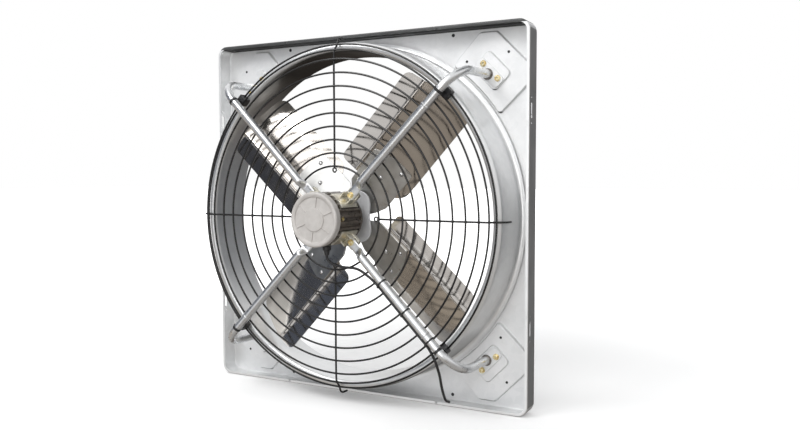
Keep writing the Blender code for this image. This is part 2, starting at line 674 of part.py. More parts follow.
def blade_frame(index):
    """Rotor-frame matrix: x along the radius, y across the face, z the face's normal."""
    spin = Matrix.Rotation(math.radians(45.0 + 90.0 * index), 4, "Z")
    pitch = Matrix.Rotation(BLADE_PITCH, 4, "X")
    return spin @ Matrix.Translation((0, 0, BLADE_DEPTH)) @ pitch


def make_blade(index):
    """A pressed sheet blade: a grid trimmed by its tip circle, thickened by Solidify."""
    bm = bmesh.new()
    bmesh.ops.create_grid(bm, x_segments=12, y_segments=8, size=0.5)
    for vert in bm.verts:
        share = vert.co.y + 0.5
        v = BLADE_LEAD + (BLADE_TRAIL - BLADE_LEAD) * share
        edge_in = min(v - BLADE_LEAD, BLADE_TRAIL - v)
        tip = math.sqrt(TIP_R ** 2 - (v * math.cos(BLADE_PITCH)) ** 2)
        if edge_in < BLADE_CORNER:
            tip -= BLADE_CORNER - math.sqrt(max(0.0, edge_in * (2 * BLADE_CORNER - edge_in)))
        root = BLADE_ROOT + 0.030 * abs(share - 0.45) ** 1.5
        r = root + (tip - root) * (vert.co.x + 0.5)
        vert.co = (r, -v, blade_face(v))
    blade = finish_mesh(f"blade_{index + 1}", bm, STAINLESS, ROTOR)
    blade.matrix_local = blade_frame(index)
    solid = blade.modifiers.new("sheet", "SOLIDIFY")
    solid.thickness = BLADE_SHEET
    solid.offset = 0.0
    for number, (r, v) in enumerate(RIVETS):
        boolean(blade, rivet_hole(f"blade_hole_{index}_{number}", index, r, v))
    return blade


# ---- cable --------------------------------------------------------------------------------------
def make_gland():
    """A compression gland with a tapered strain relief, pointing down from the motor."""
    seat = HOUSING_R + GAP
    bore = CORD_R + 0.0008
    outline = [(0.0, GLAND_TIP - 0.010), (bore, GLAND_TIP - 0.010), (bore, GLAND_TIP), (0.0062, GLAND_TIP),
               (0.0075, seat + 0.014), (0.0110, seat + 0.012), (0.0110, seat + 0.005),
               (0.0130, seat + 0.004), (0.0130, seat), (0.0, seat)]
    return turned("cable_gland", outline, TIE_BLACK, steps=16,
                  location=(0, 0, GLAND_DEPTH), rotation=(math.radians(90), 0, 0))


def cord_route():
    """The cord's own points: out of the gland, along the lower right arm, and down to the rim."""
    arm = math.radians(QUADRANTS["bottom_right"])
    beside = -CORD_SIDE
    route = [(0.0, -GLAND_TIP + 0.0095, GLAND_DEPTH), (0.0, -GLAND_TIP - 0.004, GLAND_DEPTH),
             (0.005, -GLAND_TIP - 0.015, GLAND_DEPTH - 0.001),
             (0.019, -GLAND_TIP - 0.024, GLAND_DEPTH - 0.004),
             (0.044, -GLAND_TIP - 0.030, GLAND_DEPTH - 0.009)]
    route += [radial(0.150, beside - 0.0160, ARM_DEPTH, arm), radial(0.185, beside - 0.0045, ARM_DEPTH, arm)]
    route += [radial(r, beside, ARM_DEPTH, arm) for r in CORD_ALONG_ARM]
    return route + list(CORD_FREE_END)


def make_cord():
    mesh = tube_mesh("power_cord", smooth_route(cord_route(), CORD_SPACING), CORD_R)
    return place(bpy.data.objects.new("power_cord", mesh), CORD_BLACK, FAN)


def make_ties():
    """Ties that hold the cord against the lower right arm."""
    arm = math.radians(QUADRANTS["bottom_right"])
    inner = TUBE_R + CORD_R + 0.0010
    for number, r in enumerate(TIE_RADII, start=1):
        profile = ring_outline(inner, inner + TIE_SHEET, -TIE_WIDTH / 2, TIE_WIDTH / 2)
        turned(f"cord_tie_{number}", profile, TIE_BLACK, steps=16,
               location=radial(r, -CORD_R - GAP, ARM_DEPTH, arm), rotation=(0, math.radians(90), arm))


def build_all():
    make_panel()
    make_bell_mouth()
    make_guard()
    for place_name, degrees in QUADRANTS.items():
        angle = math.radians(degrees)
        make_arm(place_name, angle)
        make_foot(place_name, angle)
        make_foot_bolts(place_name, angle)
        make_clip(place_name, angle)
        make_lug_bolt(place_name, angle)
    make_motor_cap()
    make_housing()
    make_end_shields()
    make_motor_inside()
    make_hub()
    for index in range(4):
        make_blade(index)
        make_rivets(index)
    make_gland()
    make_cord()
    make_ties()


build_all()
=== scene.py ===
"""Looks of the panel exhaust fan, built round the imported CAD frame.

Every visible piece is modelled in the fan frame (x to the right, y up, z forward along the fan's axis) and
then turned into the row frame. Lengths are metres.
"""
import math

import bmesh
import bpy
from mathutils import Matrix, Vector
from mathutils.geometry import tessellate_polygon


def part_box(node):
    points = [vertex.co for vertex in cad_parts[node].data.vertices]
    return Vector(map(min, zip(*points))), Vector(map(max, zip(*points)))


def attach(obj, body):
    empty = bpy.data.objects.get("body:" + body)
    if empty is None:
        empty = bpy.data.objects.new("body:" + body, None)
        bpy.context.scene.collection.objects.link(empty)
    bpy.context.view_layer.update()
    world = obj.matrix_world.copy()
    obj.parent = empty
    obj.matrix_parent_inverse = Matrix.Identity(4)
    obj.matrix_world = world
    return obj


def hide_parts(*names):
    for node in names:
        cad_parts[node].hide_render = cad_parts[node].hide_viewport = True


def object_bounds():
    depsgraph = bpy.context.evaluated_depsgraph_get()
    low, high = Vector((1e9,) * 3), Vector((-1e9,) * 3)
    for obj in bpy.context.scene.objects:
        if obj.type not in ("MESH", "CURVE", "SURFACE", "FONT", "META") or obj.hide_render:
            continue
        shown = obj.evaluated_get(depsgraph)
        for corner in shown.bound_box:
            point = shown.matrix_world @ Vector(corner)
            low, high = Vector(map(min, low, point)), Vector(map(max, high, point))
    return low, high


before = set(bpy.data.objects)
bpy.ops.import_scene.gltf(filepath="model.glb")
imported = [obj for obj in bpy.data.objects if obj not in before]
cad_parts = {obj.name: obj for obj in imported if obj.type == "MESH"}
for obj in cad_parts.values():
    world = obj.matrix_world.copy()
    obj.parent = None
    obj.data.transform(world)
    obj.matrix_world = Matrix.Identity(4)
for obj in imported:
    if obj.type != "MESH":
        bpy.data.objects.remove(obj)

CAD_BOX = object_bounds()


def rotation(degrees, axis="Z"):
    return Matrix.Rotation(math.radians(degrees), 4, axis)


FAN = rotation(90.0, "X")            # fan frame to row frame


def reach(node):
    """A node's largest distance from the fan's axis along X or Z."""
    low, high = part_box(node)
    return max(high.x, high.z, -low.x, -low.z)


def depths(node):
    """The back and front of a node along the fan's axis."""
    low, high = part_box(node)
    return -high.y, -low.y


# ---- dimensions ----
HALF = reach("panel")
RIM_DEPTH = depths("panel")[1]
SHEET = 0.002
RIM_CORNER = 0.03
HEM = 0.0085
OPENING_R = 0.466
SHEET_CREASE = 35.0                  # degrees; sharper edges of a sheet stay hard
PAD_RISE = 0.008
FOOT_PAD_RISE = 0.005
SLOPE = 0.005                       # width of an embossed pad's sloping side
FOOT_SLOPE = 0.0035
FACE_HOLE_R = 0.0038
SIDE_HOLE_ALONG, SIDE_HOLE_IN = 0.267, 0.018
PAD_HOLES = ((0.604, 0.0), (0.509, 0.07))     # radius and offset across the diagonal
PAD_HOLE_SCALE = 0.8

FLANGE_R = reach("bell_mouth")
MOUTH_BACK, MOUTH_FRONT = 0.02, depths("bell_mouth")[1]
THROAT_R = 0.4395
WALL_R = FLANGE_R - 0.016
FLANGE_DEPTH = depths("bell_mouth")[0] + SHEET / 2

WIRE_R = 0.0026
GUARD_FLAT = depths("wire_guard")[1] - WIRE_R
GUARD_INNER_R = 0.137
GUARD_PITCH = 0.0349
GUARD_RINGS = 9
GUARD_EDGE = ((0.441, 0.1665), (0.456, 0.156))

TUBE_R = 0.0115
ARM_DEPTH = 0.193
ARM_OUTER, ARM_INNER, ARM_BEND = 0.527, 0.112, 0.074
TAB_DEPTH = ARM_DEPTH - 0.009
CLIP_R = 0.45
FOOT_RADIUS, FOOT_BOLT_SPREAD = 0.538, 0.028
FOOT_SEAT = SHEET + PAD_RISE + FOOT_PAD_RISE + 0.0003
FOOT_SHEET = 0.004
LUG_BOLT_RADIUS = ARM_INNER - 0.025
BOLT_HEAD_R, BOLT_HEAD_H, BOLT_SHANK_R = 0.0066, 0.005, 0.0036
SWAGE_R = 0.4                      # where the arm's wider sleeve begins

CAP_R = 0.071
CAP_BACK, CAP_FRONT = depths("motor_cap")
HOUSING_BACK, HOUSING_FRONT = depths("motor_housing")
HOUSING_R = 0.07
SHIELD_BACK = depths("drive_end_shield")[0]
SHAFT_R = 0.0095
SHAFT_BACK = depths("motor_shaft")[0]
LUG_DEPTH = (0.17, 0.1805)

ROTOR_ANGLE = math.radians(2.0)
TIP_R, BLADE_ROOT = 0.425, 0.112
BLADE_PITCH = math.radians(23.0)
BLADE_LEAD, BLADE_TRAIL, BLADE_CREASE = -0.128, 0.078, -0.072
BLADE_FLAT_END = 0.045
BLADE_SHEET = 0.0025
BLADE_DEPTH = 0.076
HUB_R = 0.064
HUB_FLANGE = (0.0985, 0.1045)
BOSS_DEPTH = (0.072, 0.116)
PLATE_SHEET, PLATE_END_R = 0.004, 0.205
RIVETS = ((0.18, -0.044), (0.184, 0.03), (0.14, -0.008))
PLATE_GAP = 0.0003                   # between a blade, its hub plate and the rivet heads

CORD_R = 0.0035
CORD_SIDE = TUBE_R + CORD_R + 0.0006
GLAND_DEPTH, GLAND_TIP = 0.207, 0.095
TIE_RADII = (0.225, 0.322, 0.418)

QUARTERS = (0, 90, 180, 270)
QUADRANTS = {"top_right": 45.0, "top_left": 135.0, "bottom_left": 225.0, "bottom_right": 315.0}


# ---- camera ----
def make_camera():
    yaw, pitch = 0.4747, -0.0598
    data = bpy.data.cameras.new("view")
    data.sensor_width = 36.0
    data.lens = 34.6
    data.shift_x = -0.0375
    data.shift_y = 0.0074
    camera = bpy.data.objects.new("view", data)
    camera.location = (1.1534, -1.862, 0.114)
    camera.rotation_euler = (math.radians(90.0) + pitch, 0.0, yaw)
    link(camera)
    bpy.context.scene.camera = camera


# ---- mesh helpers ----
def link(obj):
    bpy.context.scene.collection.objects.link(obj)


def radial(radius, tangent, depth, angle):
    """Fan-frame point from polar terms: along the radius, across it, and forward."""
    c, s = math.cos(angle), math.sin(angle)
    return Vector((radius * c - tangent * s, radius * s + tangent * c, depth))


def bridge(bm, rows, loop_rows=False, loop_columns=True):
    """Quads between neighbouring rows of vertices."""
    pairs = list(zip(rows, rows[1:]))
    if loop_rows:
        pairs.append((rows[-1], rows[0]))
    for a, b in pairs:
        count = len(a)
        for i in range(count if loop_columns else count - 1):
            j = (i + 1) % count
            bm.faces.new((a[i], a[j], b[j], b[i]))


def lathe(bm, outline, steps, matrix=Matrix(), closed=True):
    """Turns an outline of (radius, depth) points about z."""
    rows = []
    for i in range(steps):
        angle = math.tau * i / steps
        c, s = math.cos(angle), math.sin(angle)
        rows.append([bm.verts.new(matrix @ Vector((r * c, r * s, z))) for r, z in outline])
    bridge(bm, rows, loop_rows=True, loop_columns=closed)


def arc(centre, radius, start, end, count):
    """Points (x, y) on an arc, angles in degrees."""
    angles = [math.radians(start + (end - start) * i / count) for i in range(count + 1)]
    return [(centre[0] + radius * math.cos(a), centre[1] + radius * math.sin(a)) for a in angles]


def circle(radius, count, centre=(0.0, 0.0)):
    return arc(centre, radius, 0.0, 360.0, count)[:-1]


def ellipse(half_width, half_height, count, lift=0.0):
    return [(half_width * x, half_height * y + lift) for x, y in circle(1.0, count)]


def frames(path, side):
    """Point, side and up vectors along a path, carried without twist."""
    found = []
    last = len(path) - 1
    for i, point in enumerate(path):
        along = (path[min(i + 1, last)] - path[max(i - 1, 0)]).normalized()
        side = (side - along * side.dot(along)).normalized()
        found.append((point, side, along.cross(side)))
    return found


def closed_bar(bm, rows):
    """Bridges rows of vertices and closes both ends."""
    bridge(bm, rows)
    bm.faces.new(rows[0][::-1])
    bm.faces.new(rows[-1])


def sweep(bm, path, side, sections):
    """A closed bar along a path: each section is an outline of (across, up) offsets."""
    rows = []
    for (point, across, up), outline in zip(frames(path, side), sections):
        rows.append([bm.verts.new(point + across * x + up * y) for x, y in outline])
    closed_bar(bm, rows)


def corners(x0, x1, y0, y1):
    """A rectangle, counter-clockwise."""
    return [(x0, y0), (x1, y0), (x1, y1), (x0, y1)]


def bends(points):
    """Each corner of a closed outline, with the directions into it and out of it."""
    for i, corner in enumerate(points):
        here = Vector(corner)
        after = Vector(points[(i + 1) % len(points)])
        yield here, (here - Vector(points[i - 1])).normalized(), (after - here).normalized()


def rounded(points, radii, count=6):
    """A closed outline with its corners rounded, by one radius or by a list of them."""
    outline = []
    for i, (here, d_in, d_out) in enumerate(bends(points)):
        radius = radii[i] if isinstance(radii, list) else radii
        turn = d_in.angle(d_out)
        if radius <= 0.0 or turn < 0.001:
            outline.append(tuple(here))
            continue
        back = radius * math.tan(turn / 2)
        centre = here - d_in * back + (d_out - d_in * d_in.dot(d_out)).normalized() * radius
        first = here - d_in * back - centre
        sense = 1.0 if d_in.x * d_out.y - d_in.y * d_out.x > 0 else -1.0
        for k in range(count + 1):
            angle = sense * turn * k / count
            c, s = math.cos(angle), math.sin(angle)
            x, y = first.x * c - first.y * s, first.x * s + first.y * c
            outline.append((centre.x + x, centre.y + y))
    return outline


def inset(points, distance):
    """A counter-clockwise outline moved inwards by distance."""
    moved = []
    for here, d_in, d_out in bends(points):
        n_in, n_out = Vector((-d_in.y, d_in.x)), Vector((-d_out.y, d_out.x))
        both = (n_in + n_out).normalized()
        moved.append(tuple(here + both * (distance / max(both.dot(n_in), 0.3))))
    return moved


def ring_of(bm, outline, z, matrix=Matrix()):
    return [bm.verts.new(matrix @ Vector((x, y, z))) for x, y in outline]


def stack(bm, levels, matrix=Matrix()):
    """Rows of vertices, one for each (outline, depth)."""
    return [ring_of(bm, outline, z, matrix) for outline, z in levels]


def scaled(outline, scale):
    return [(x * scale, y * scale) for x, y in outline]


def lifted(profile, depth):
    """A profile given relative to a depth."""
    return [(r, depth + z) for r, z in profile]


def plate(bm, outline, z0, z1, edge=0.0006, matrix=Matrix()):
    """A flat plate with eased edges. The outline runs counter-clockwise."""
    small = inset(outline, edge)
    levels = ((small, z0), (outline, z0 + edge), (outline, z1 - edge), (small, z1))
    closed_bar(bm, stack(bm, levels, matrix))


def region(bm, outer, holes, z):
    """A flat face with holes, looking forward."""
    loops = [[Vector((x, y, z)) for x, y in loop] for loop in (outer, *holes)]
    points = [p for loop in loops for p in loop]
    verts = [bm.verts.new(p) for p in points]
    for a, b, c in tessellate_polygon(loops):
        turn = (points[b] - points[a]).cross(points[c] - points[a]).z
        if abs(turn) > 1e-12:
            order = (a, b, c) if turn > 0 else (a, c, b)
            bm.faces.new([verts[i] for i in order])


def slope(bm, outline, z0, z1, width, count=7):
    """A sloping band from an outline at z0 to its inset at z1, easing in and out."""
    rows = []
    for i in range(count + 1):
        t = i / count
        rise = t * t * (3.0 - 2.0 * t)
        rows.append(ring_of(bm, inset(outline, width * t) if i else outline, z0 + (z1 - z0) * rise))
    bridge(bm, rows)


def new_object(name, bm, matrix=Matrix()):
    mesh = bpy.data.meshes.new(name)
    bm.to_mesh(mesh)
    bm.free()
    mesh.transform(matrix)
    obj = bpy.data.objects.new(name, mesh)
    link(obj)
    return obj


def piece(name, bm, mat, nodes, matrix=Matrix(), body="frame", angle=38.0, closed=True):
    """Turns a bmesh in the fan frame into a piece that stands for CAD nodes."""
    bmesh.ops.remove_doubles(bm, verts=bm.verts, dist=1e-6)
    if closed:
        bmesh.ops.recalc_face_normals(bm, faces=bm.faces)
    obj = new_object(name, bm, FAN @ matrix)
    obj.data.shade_smooth()
    obj.data.set_sharp_from_angle(angle=math.radians(angle))
    obj.data.materials.append(mat)
    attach(obj, body)
    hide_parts(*nodes)
    if closed:
        even_shading(obj)
    return obj


def even_shading(obj):
    """Large flat faces stay flat beside the small rounded ones."""
    mod = obj.modifiers.new("shading", "WEIGHTED_NORMAL")
    mod.keep_sharp = True


def solidify(obj, thickness, offset=-1.0, cutters=()):
    """Gives a sheet its thickness, cuts the cutters out, and keeps the result as the mesh."""
    mod = obj.modifiers.new("sheet", "SOLIDIFY")
    mod.thickness = thickness
    mod.offset = offset
    mod.use_even_offset = True
    mod.use_quality_normals = True
    for cutter in cutters:
        cut = obj.modifiers.new("cut", "BOOLEAN")
        cut.operation = "DIFFERENCE"
        cut.solver = "MANIFOLD"
        cut.object = cutter
    graph = bpy.context.evaluated_depsgraph_get()
    solid = bpy.data.meshes.new_from_object(obj.evaluated_get(graph))
    obj.modifiers.clear()
    obj.data = solid
    solid.shade_smooth()
    solid.set_sharp_from_angle(angle=math.radians(SHEET_CREASE))
    for cutter in cutters:
        bpy.data.objects.remove(cutter)
    even_shading(obj)


# ---- materials ----
def add_node(tree, kind, values=(), sources=(), operation=None, rise=None, data_type=None):
    """A shader node with its settings, its sockets' values, and the outputs that feed its sockets."""
    node = tree.nodes.new("ShaderNode" + kind)
    if operation:
        node.operation = operation
    if rise:
        node.interpolation_type = rise
    if data_type:
        node.data_type = data_type
    for socket, value in dict(values).items():
        node.inputs[socket].default_value = value
    for socket, output in dict(sources).items():
        tree.links.new(output, node.inputs[socket])
    return node


class Surface:
    """A Principled material whose colour, roughness and relief come from procedural nodes."""

    def __init__(self, name, metallic, stretch=(1.0, 1.0, 1.0)):
        self.mat = bpy.data.materials.new(name)
        self.mat.use_nodes = True
        self.tree = self.mat.node_tree
        self.shader = self.tree.nodes["Principled BSDF"]
        self.shader.inputs["Metallic"].default_value = metallic
        self.bump = None
        self.coords = self.add("TexCoord").outputs["Object"]
        mapping = self.add("Mapping", {"Scale": stretch}, {"Vector": self.coords})
        self.vector = mapping.outputs["Vector"]

    def add(self, kind, values=(), sources=(), **settings):
        return add_node(self.tree, kind, values, sources, **settings)

    def feed(self, socket, output):
        self.tree.links.new(output, self.shader.inputs[socket])

    def noise(self, scale, detail=4.0):
        values = {"Scale": scale, "Detail": detail, "Roughness": 0.55}
        return self.add("TexNoise", values, {"Vector": self.vector}).outputs["Fac"]

    def cells(self, scale):
        colour = self.add("TexVoronoi", {"Scale": scale}, {"Vector": self.vector}).outputs["Color"]
        return self.add("RGBToBW", (), {"Color": colour}).outputs["Val"]

    def mapped(self, value, low, high, start=0.3, end=0.7):
        values = {"From Min": start, "From Max": end, "To Min": low, "To Max": high}
        return self.add("MapRange", values, {"Value": value}).outputs["Result"]

    def colour(self, value, dark, light, start=0.3, end=0.7):
        node = self.add("ValToRGB", (), {"Fac": value})
        for element, position, shade in zip(node.color_ramp.elements, (start, end), (dark, light)):
            element.position = position
            element.color = (*shade, 1.0)
        return node.outputs["Color"]

    def mix(self, factor, a, b):
        node = self.add("Mix", (), {6: a, 7: b}, data_type="RGBA")
        if isinstance(factor, float):
            node.inputs["Factor"].default_value = factor
        else:
            self.tree.links.new(factor, node.inputs["Factor"])
        return node.outputs[2]

    def place(self, axis, start, end):
        """0 before start and 1 past end along an axis, in metres."""
        place = self.add("SeparateXYZ", (), {"Vector": self.coords})
        return self.mapped(place.outputs[axis], 0.0, 1.0, start, end)

    def underside(self):
        """1 on faces that look down, where shade is painted."""
        normal = self.add("NewGeometry").outputs["Normal"]
        height = self.add("SeparateXYZ", (), {"Vector": normal}).outputs["Z"]
        return self.mapped(height, 1.0, 0.0, -0.9, -0.6)

    def larger(self, a, b):
        return self.add("Math", (), {0: a, 1: b}, operation="MAXIMUM").outputs["Value"]

    def relief(self, value, strength, distance):
        node = self.add("Bump", {"Strength": strength, "Distance": distance}, {"Height": value})
        if self.bump:
            self.tree.links.new(self.bump, node.inputs["Normal"])
        self.bump = node.outputs["Normal"]
        self.feed("Normal", self.bump)


def galvanised_material(name, metallic):
    """Zinc-coated sheet: faint spangle and cloudy sheen. Painted shade: the rim's outer sides are painted
    a dull grey, and its top and every face that looks down are painted near black, for the shade there."""
    s = Surface(name, metallic)
    spangle = s.colour(s.cells(70.0), (0.78, 0.79, 0.795), (0.86, 0.865, 0.87), 0.2, 0.8)
    cloud = s.colour(s.noise(5.0), (0.79, 0.8, 0.805), (0.87, 0.875, 0.88))
    unshaded_tone = s.mix(0.6, spangle, cloud)
    # painted shade: dull grey for the rim's outer left and right sides
    dull = s.colour(s.noise(9.0), (0.34, 0.34, 0.335), (0.44, 0.44, 0.435))
    # painted shade: near black for the top rim and every face that looks down
    dark = s.colour(s.noise(9.0), (0.055, 0.057, 0.057), (0.095, 0.097, 0.097))
    right = s.place("X", HALF - 0.0012, HALF - 0.0006)
    left = s.place("X", 0.0006 - HALF, 0.0012 - HALF)
    sides = s.mix(right, s.mix(left, dull, unshaded_tone), dull)
    top = s.place("Z", HALF - HEM - 0.0012, HALF - HEM - 0.0004)
    # the painted shade goes over the sheet's own tone here
    s.feed("Base Color", s.mix(s.larger(top, s.underside()), sides, dark))
    s.feed("Roughness", s.mapped(s.noise(14.0), 0.34, 0.46))
    s.relief(s.noise(420.0, 2.0), 0.08, 0.0004)
    s.relief(s.noise(7.0, 2.0), 0.05, 0.004)
    return s.mat


def cloudy_material(name, metallic, colour, rough, *reliefs, detail=4.0, spread=0.2,
                    stretch=(1.0, 1.0, 1.0), coat=0.0):
    """A material of noises: colour is (scale, dark, light), rough is (scale, smooth, dull), and each
    relief is (scale, detail, strength, distance in metres)."""
    s = Surface(name, metallic, stretch)
    scale, dark, light = colour
    s.feed("Base Color", s.colour(s.noise(scale, detail), dark, light, 0.5 - spread, 0.5 + spread))
    scale, smooth, dull = rough
    s.feed("Roughness", s.mapped(s.noise(scale), smooth, dull))
    for scale, fineness, strength, distance in reliefs:
        s.relief(s.noise(scale, fineness), strength, distance)
    s.shader.inputs["Coat Weight"].default_value = coat
    return s.mat


# both sheets carry the painted shade of galvanised_material: near black on faces that look down
GALVANISED = galvanised_material("galvanised_sheet", 0.45)
SPUN_ZINC = galvanised_material("spun_galvanised_sheet", 0.8)
TUBE_ZINC = cloudy_material(         # semi-bright, with faint drawing marks
    "plated_tube", 0.92, (40.0, (0.66, 0.67, 0.68), (0.76, 0.77, 0.78)), (90.0, 0.24, 0.36),
    (600.0, 2.0, 0.06, 0.0003))
WIRE_BLACK = cloudy_material(        # black dipped wire, with a soft sheen and slight runs
    "black_coated_wire", 0.0, (160.0, (0.004, 0.004, 0.005), (0.012, 0.011, 0.011)),
    (240.0, 0.28, 0.45), (500.0, 2.0, 0.15, 0.0003))
STAINLESS = cloudy_material(         # near mirror, with fine marks and faint smears
    "polished_stainless", 1.0, (9.0, (0.54, 0.505, 0.47), (0.63, 0.6, 0.56)), (24.0, 0.07, 0.16),
    (300.0, 2.0, 0.03, 0.0002), (11.0, 1.0, 0.06, 0.003))
CAP_PAINT = cloudy_material(         # warm light grey, with a fine orange-peel surface
    "cap_paint", 0.0, (50.0, (0.47, 0.45, 0.43), (0.56, 0.54, 0.52)), (70.0, 0.3, 0.44),
    (900.0, 2.0, 0.12, 0.0003))
ENAMEL = cloudy_material(            # dark enamelled casting, dusty in places
    "dark_enamel", 0.0, (60.0, (0.055, 0.045, 0.036), (0.145, 0.122, 0.1)), (120.0, 0.24, 0.46),
    (420.0, 3.0, 0.25, 0.0004), coat=0.35)
YELLOW_ZINC = cloudy_material(       # passivated zinc, with its pale and golden patches
    "yellow_zinc", 1.0, (120.0, (0.7, 0.52, 0.22), (0.8, 0.76, 0.55)), (200.0, 0.22, 0.38),
    (700.0, 2.0, 0.08, 0.0003), detail=3.0, spread=0.15)
PALE_ZINC = cloudy_material(         # the motor's brackets
    "pale_zinc", 0.9, (90.0, (0.62, 0.59, 0.5), (0.76, 0.74, 0.66)), (150.0, 0.26, 0.42),
    (500.0, 2.0, 0.1, 0.0003), detail=3.0, spread=0.15)
BRIGHT_STEEL = cloudy_material(      # machined, with fine marks
    "bright_steel", 1.0, (30.0, (0.56, 0.56, 0.56), (0.7, 0.7, 0.7)), (60.0, 0.18, 0.32),
    (650.0, 2.0, 0.07, 0.0003))
PLATE_STEEL = cloudy_material(       # cold-rolled: soft grey sheen with fine grain
    "rolled_plate", 1.0, (22.0, (0.46, 0.46, 0.45), (0.6, 0.6, 0.59)), (45.0, 0.26, 0.4),
    (500.0, 2.0, 0.1, 0.0003))
HUB_STEEL = cloudy_material(         # pressed and tumbled flange: pale, with a satin sheen
    "pressed_hub", 0.3, (30.0, (0.8, 0.81, 0.83), (0.86, 0.87, 0.89)), (60.0, 0.3, 0.4),
    (400.0, 2.0, 0.03, 0.0002))
WELD = cloudy_material(              # bead browned by its heat
    "weld_bead", 0.8, (220.0, (0.1, 0.09, 0.08), (0.34, 0.32, 0.3)), (160.0, 0.36, 0.55),
    (350.0, 3.0, 0.35, 0.0006))
LAMINATION = cloudy_material(        # fine dark bands across the axis
    "laminations", 0.9, (30.0, (0.1, 0.1, 0.11), (0.3, 0.3, 0.31)), (40.0, 0.4, 0.6),
    (30.0, 1.0, 0.3, 0.0005), detail=1.0, stretch=(1.0, 60.0, 1.0))
BLACK_SHADES = (80.0, (0.008, 0.008, 0.009), (0.026, 0.026, 0.028))
BLACK_GRAIN = (900.0, 2.0, 0.2, 0.0003)
CORD_BLACK = cloudy_material("cord_sheath", 0.0, BLACK_SHADES, (150.0, 0.42, 0.6), BLACK_GRAIN)
PLASTIC_BLACK = cloudy_material("black_plastic", 0.0, BLACK_SHADES, (150.0, 0.35, 0.5), BLACK_GRAIN)


# ---- cord ----
def smooth_route(points, steps=16):
    """Points on a Catmull-Rom curve through the route's own points."""
    knots = [Vector(p) for p in points]
    knots = [knots[0] * 2 - knots[1]] + knots + [knots[-1] * 2 - knots[-2]]
    route = []
    for a, b, c, d in zip(knots, knots[1:], knots[2:], knots[3:]):
        for i in range(steps):
            t = i / steps
            square, cube = 2 * a - 5 * b + 4 * c - d, 3 * b - a - 3 * c + d
            route.append(0.5 * (2 * b + (c - a) * t + square * t * t + cube * t * t * t))
    route.append(knots[-2])
    return route


def cord_route():
    """The cord's own points: out of the gland, along the lower right arm, and down to the rim."""
    arm = math.radians(QUADRANTS["bottom_right"])
    beside = -CORD_SIDE
    route = [(0.0, -GLAND_TIP + 0.0095, GLAND_DEPTH), (0.0, -GLAND_TIP - 0.004, GLAND_DEPTH),
             (0.005, -GLAND_TIP - 0.015, GLAND_DEPTH - 0.001),
             (0.019, -GLAND_TIP - 0.024, GLAND_DEPTH - 0.004),
             (0.044, -GLAND_TIP - 0.03, GLAND_DEPTH - 0.009)]
    route += [radial(0.15, beside - 0.016, ARM_DEPTH, arm),
              radial(0.185, beside - 0.0045, ARM_DEPTH, arm)]
    route += [radial(r, beside, ARM_DEPTH, arm) for r in (0.22, 0.26, 0.31, 0.36, 0.405, 0.425)]
    route += [(0.304, -0.338, 0.189), (0.31, -0.362, 0.182), (0.309, -0.388, 0.166),
              (0.301, -0.42, 0.14), (0.293, -0.45, 0.112), (0.287, -0.473, 0.086),
              (0.284, -0.485, 0.06)]
    return route


def make_cord():
    route = [FAN @ p for p in smooth_route(cord_route())]
    curve = bpy.data.curves.new("lead", "CURVE")
    curve.dimensions = "3D"
    curve.bevel_depth = CORD_R
    curve.bevel_resolution = 5
    curve.use_fill_caps = True
    spline = curve.splines.new("POLY")
    spline.points.add(len(route) - 1)
    for point, co in zip(spline.points, route):
        point.co = (*co, 1.0)
    spline.use_smooth = True
    curve.materials.append(CORD_BLACK)
    lead = bpy.data.objects.new("lead", curve)
    link(lead)
    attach(lead, "frame")
    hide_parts("power_cord")


# ---- panel ----
def pad_outline():
    """The embossed corner pad of the first quadrant, counter-clockwise."""
    edge = HALF - 0.015
    near, corner, ring = edge - 0.14, edge - 0.09, 0.4815
    points = [(ring * math.cos(math.radians(a)), ring * math.sin(math.radians(a)))
              for a in (56.5, 53.0, 49.0, 45.0, 41.0, 37.0, 33.5)]
    points += [(edge, near), (edge, corner), (corner, edge), (near, edge)]
    radii = [0.012, 0, 0, 0, 0, 0, 0.012, 0.02, 0.014, 0.014, 0.02]
    return points, radii


def foot_pad_outline():
    return rounded(corners(0.506, 0.574, -0.046, 0.046), 0.014, 6)


def turned_outline(outline, degrees):
    c, s = math.cos(math.radians(degrees)), math.sin(math.radians(degrees))
    return [(x * c - y * s, x * s + y * c) for x, y in outline]


def square(half, radius):
    return rounded(corners(-half, half, -half, half), radius, 8)


def make_pad(bm, outline, angle):
    """A corner pad with its raised foot pad and two small holes; returns its outline."""
    pad = turned_outline(outline, angle)
    foot = turned_outline(foot_pad_outline(), angle + 45)
    small = [turned_outline(circle(FACE_HOLE_R * PAD_HOLE_SCALE, 12, at), angle + 45) for at in PAD_HOLES]
    top = SHEET + PAD_RISE
    slope(bm, pad, SHEET, top, SLOPE)
    region(bm, inset(pad, SLOPE), [foot, *small], top)
    slope(bm, foot, top, top + FOOT_PAD_RISE, FOOT_SLOPE, 5)
    region(bm, inset(foot, FOOT_SLOPE), [], top + FOOT_PAD_RISE)
    return pad


def side_holes(angle):
    """Centres of the two unused holes beside one edge of the panel."""
    inside = HALF - SIDE_HOLE_IN
    return turned_outline([(-SIDE_HOLE_ALONG, inside), (SIDE_HOLE_ALONG, inside)], angle)


def make_rim(bm, start, fillet):
    """The folded rim: a fillet round the face, the wall, and the hem turned in at its front."""
    inner, corner, fold, hem = HALF - SHEET, RIM_CORNER - SHEET, 0.0016, HALF - HEM
    line = arc((inner - fillet, SHEET + fillet), fillet, -90.0, 0.0, 5)[1:]
    line += arc((inner - fold, RIM_DEPTH - SHEET - fold), fold, 0.0, 90.0, 4)
    line.append((hem, RIM_DEPTH - SHEET))
    levels = [(start, SHEET)] + [(square(x, corner - (inner - x)), z) for x, z in line]
    bridge(bm, stack(bm, levels))


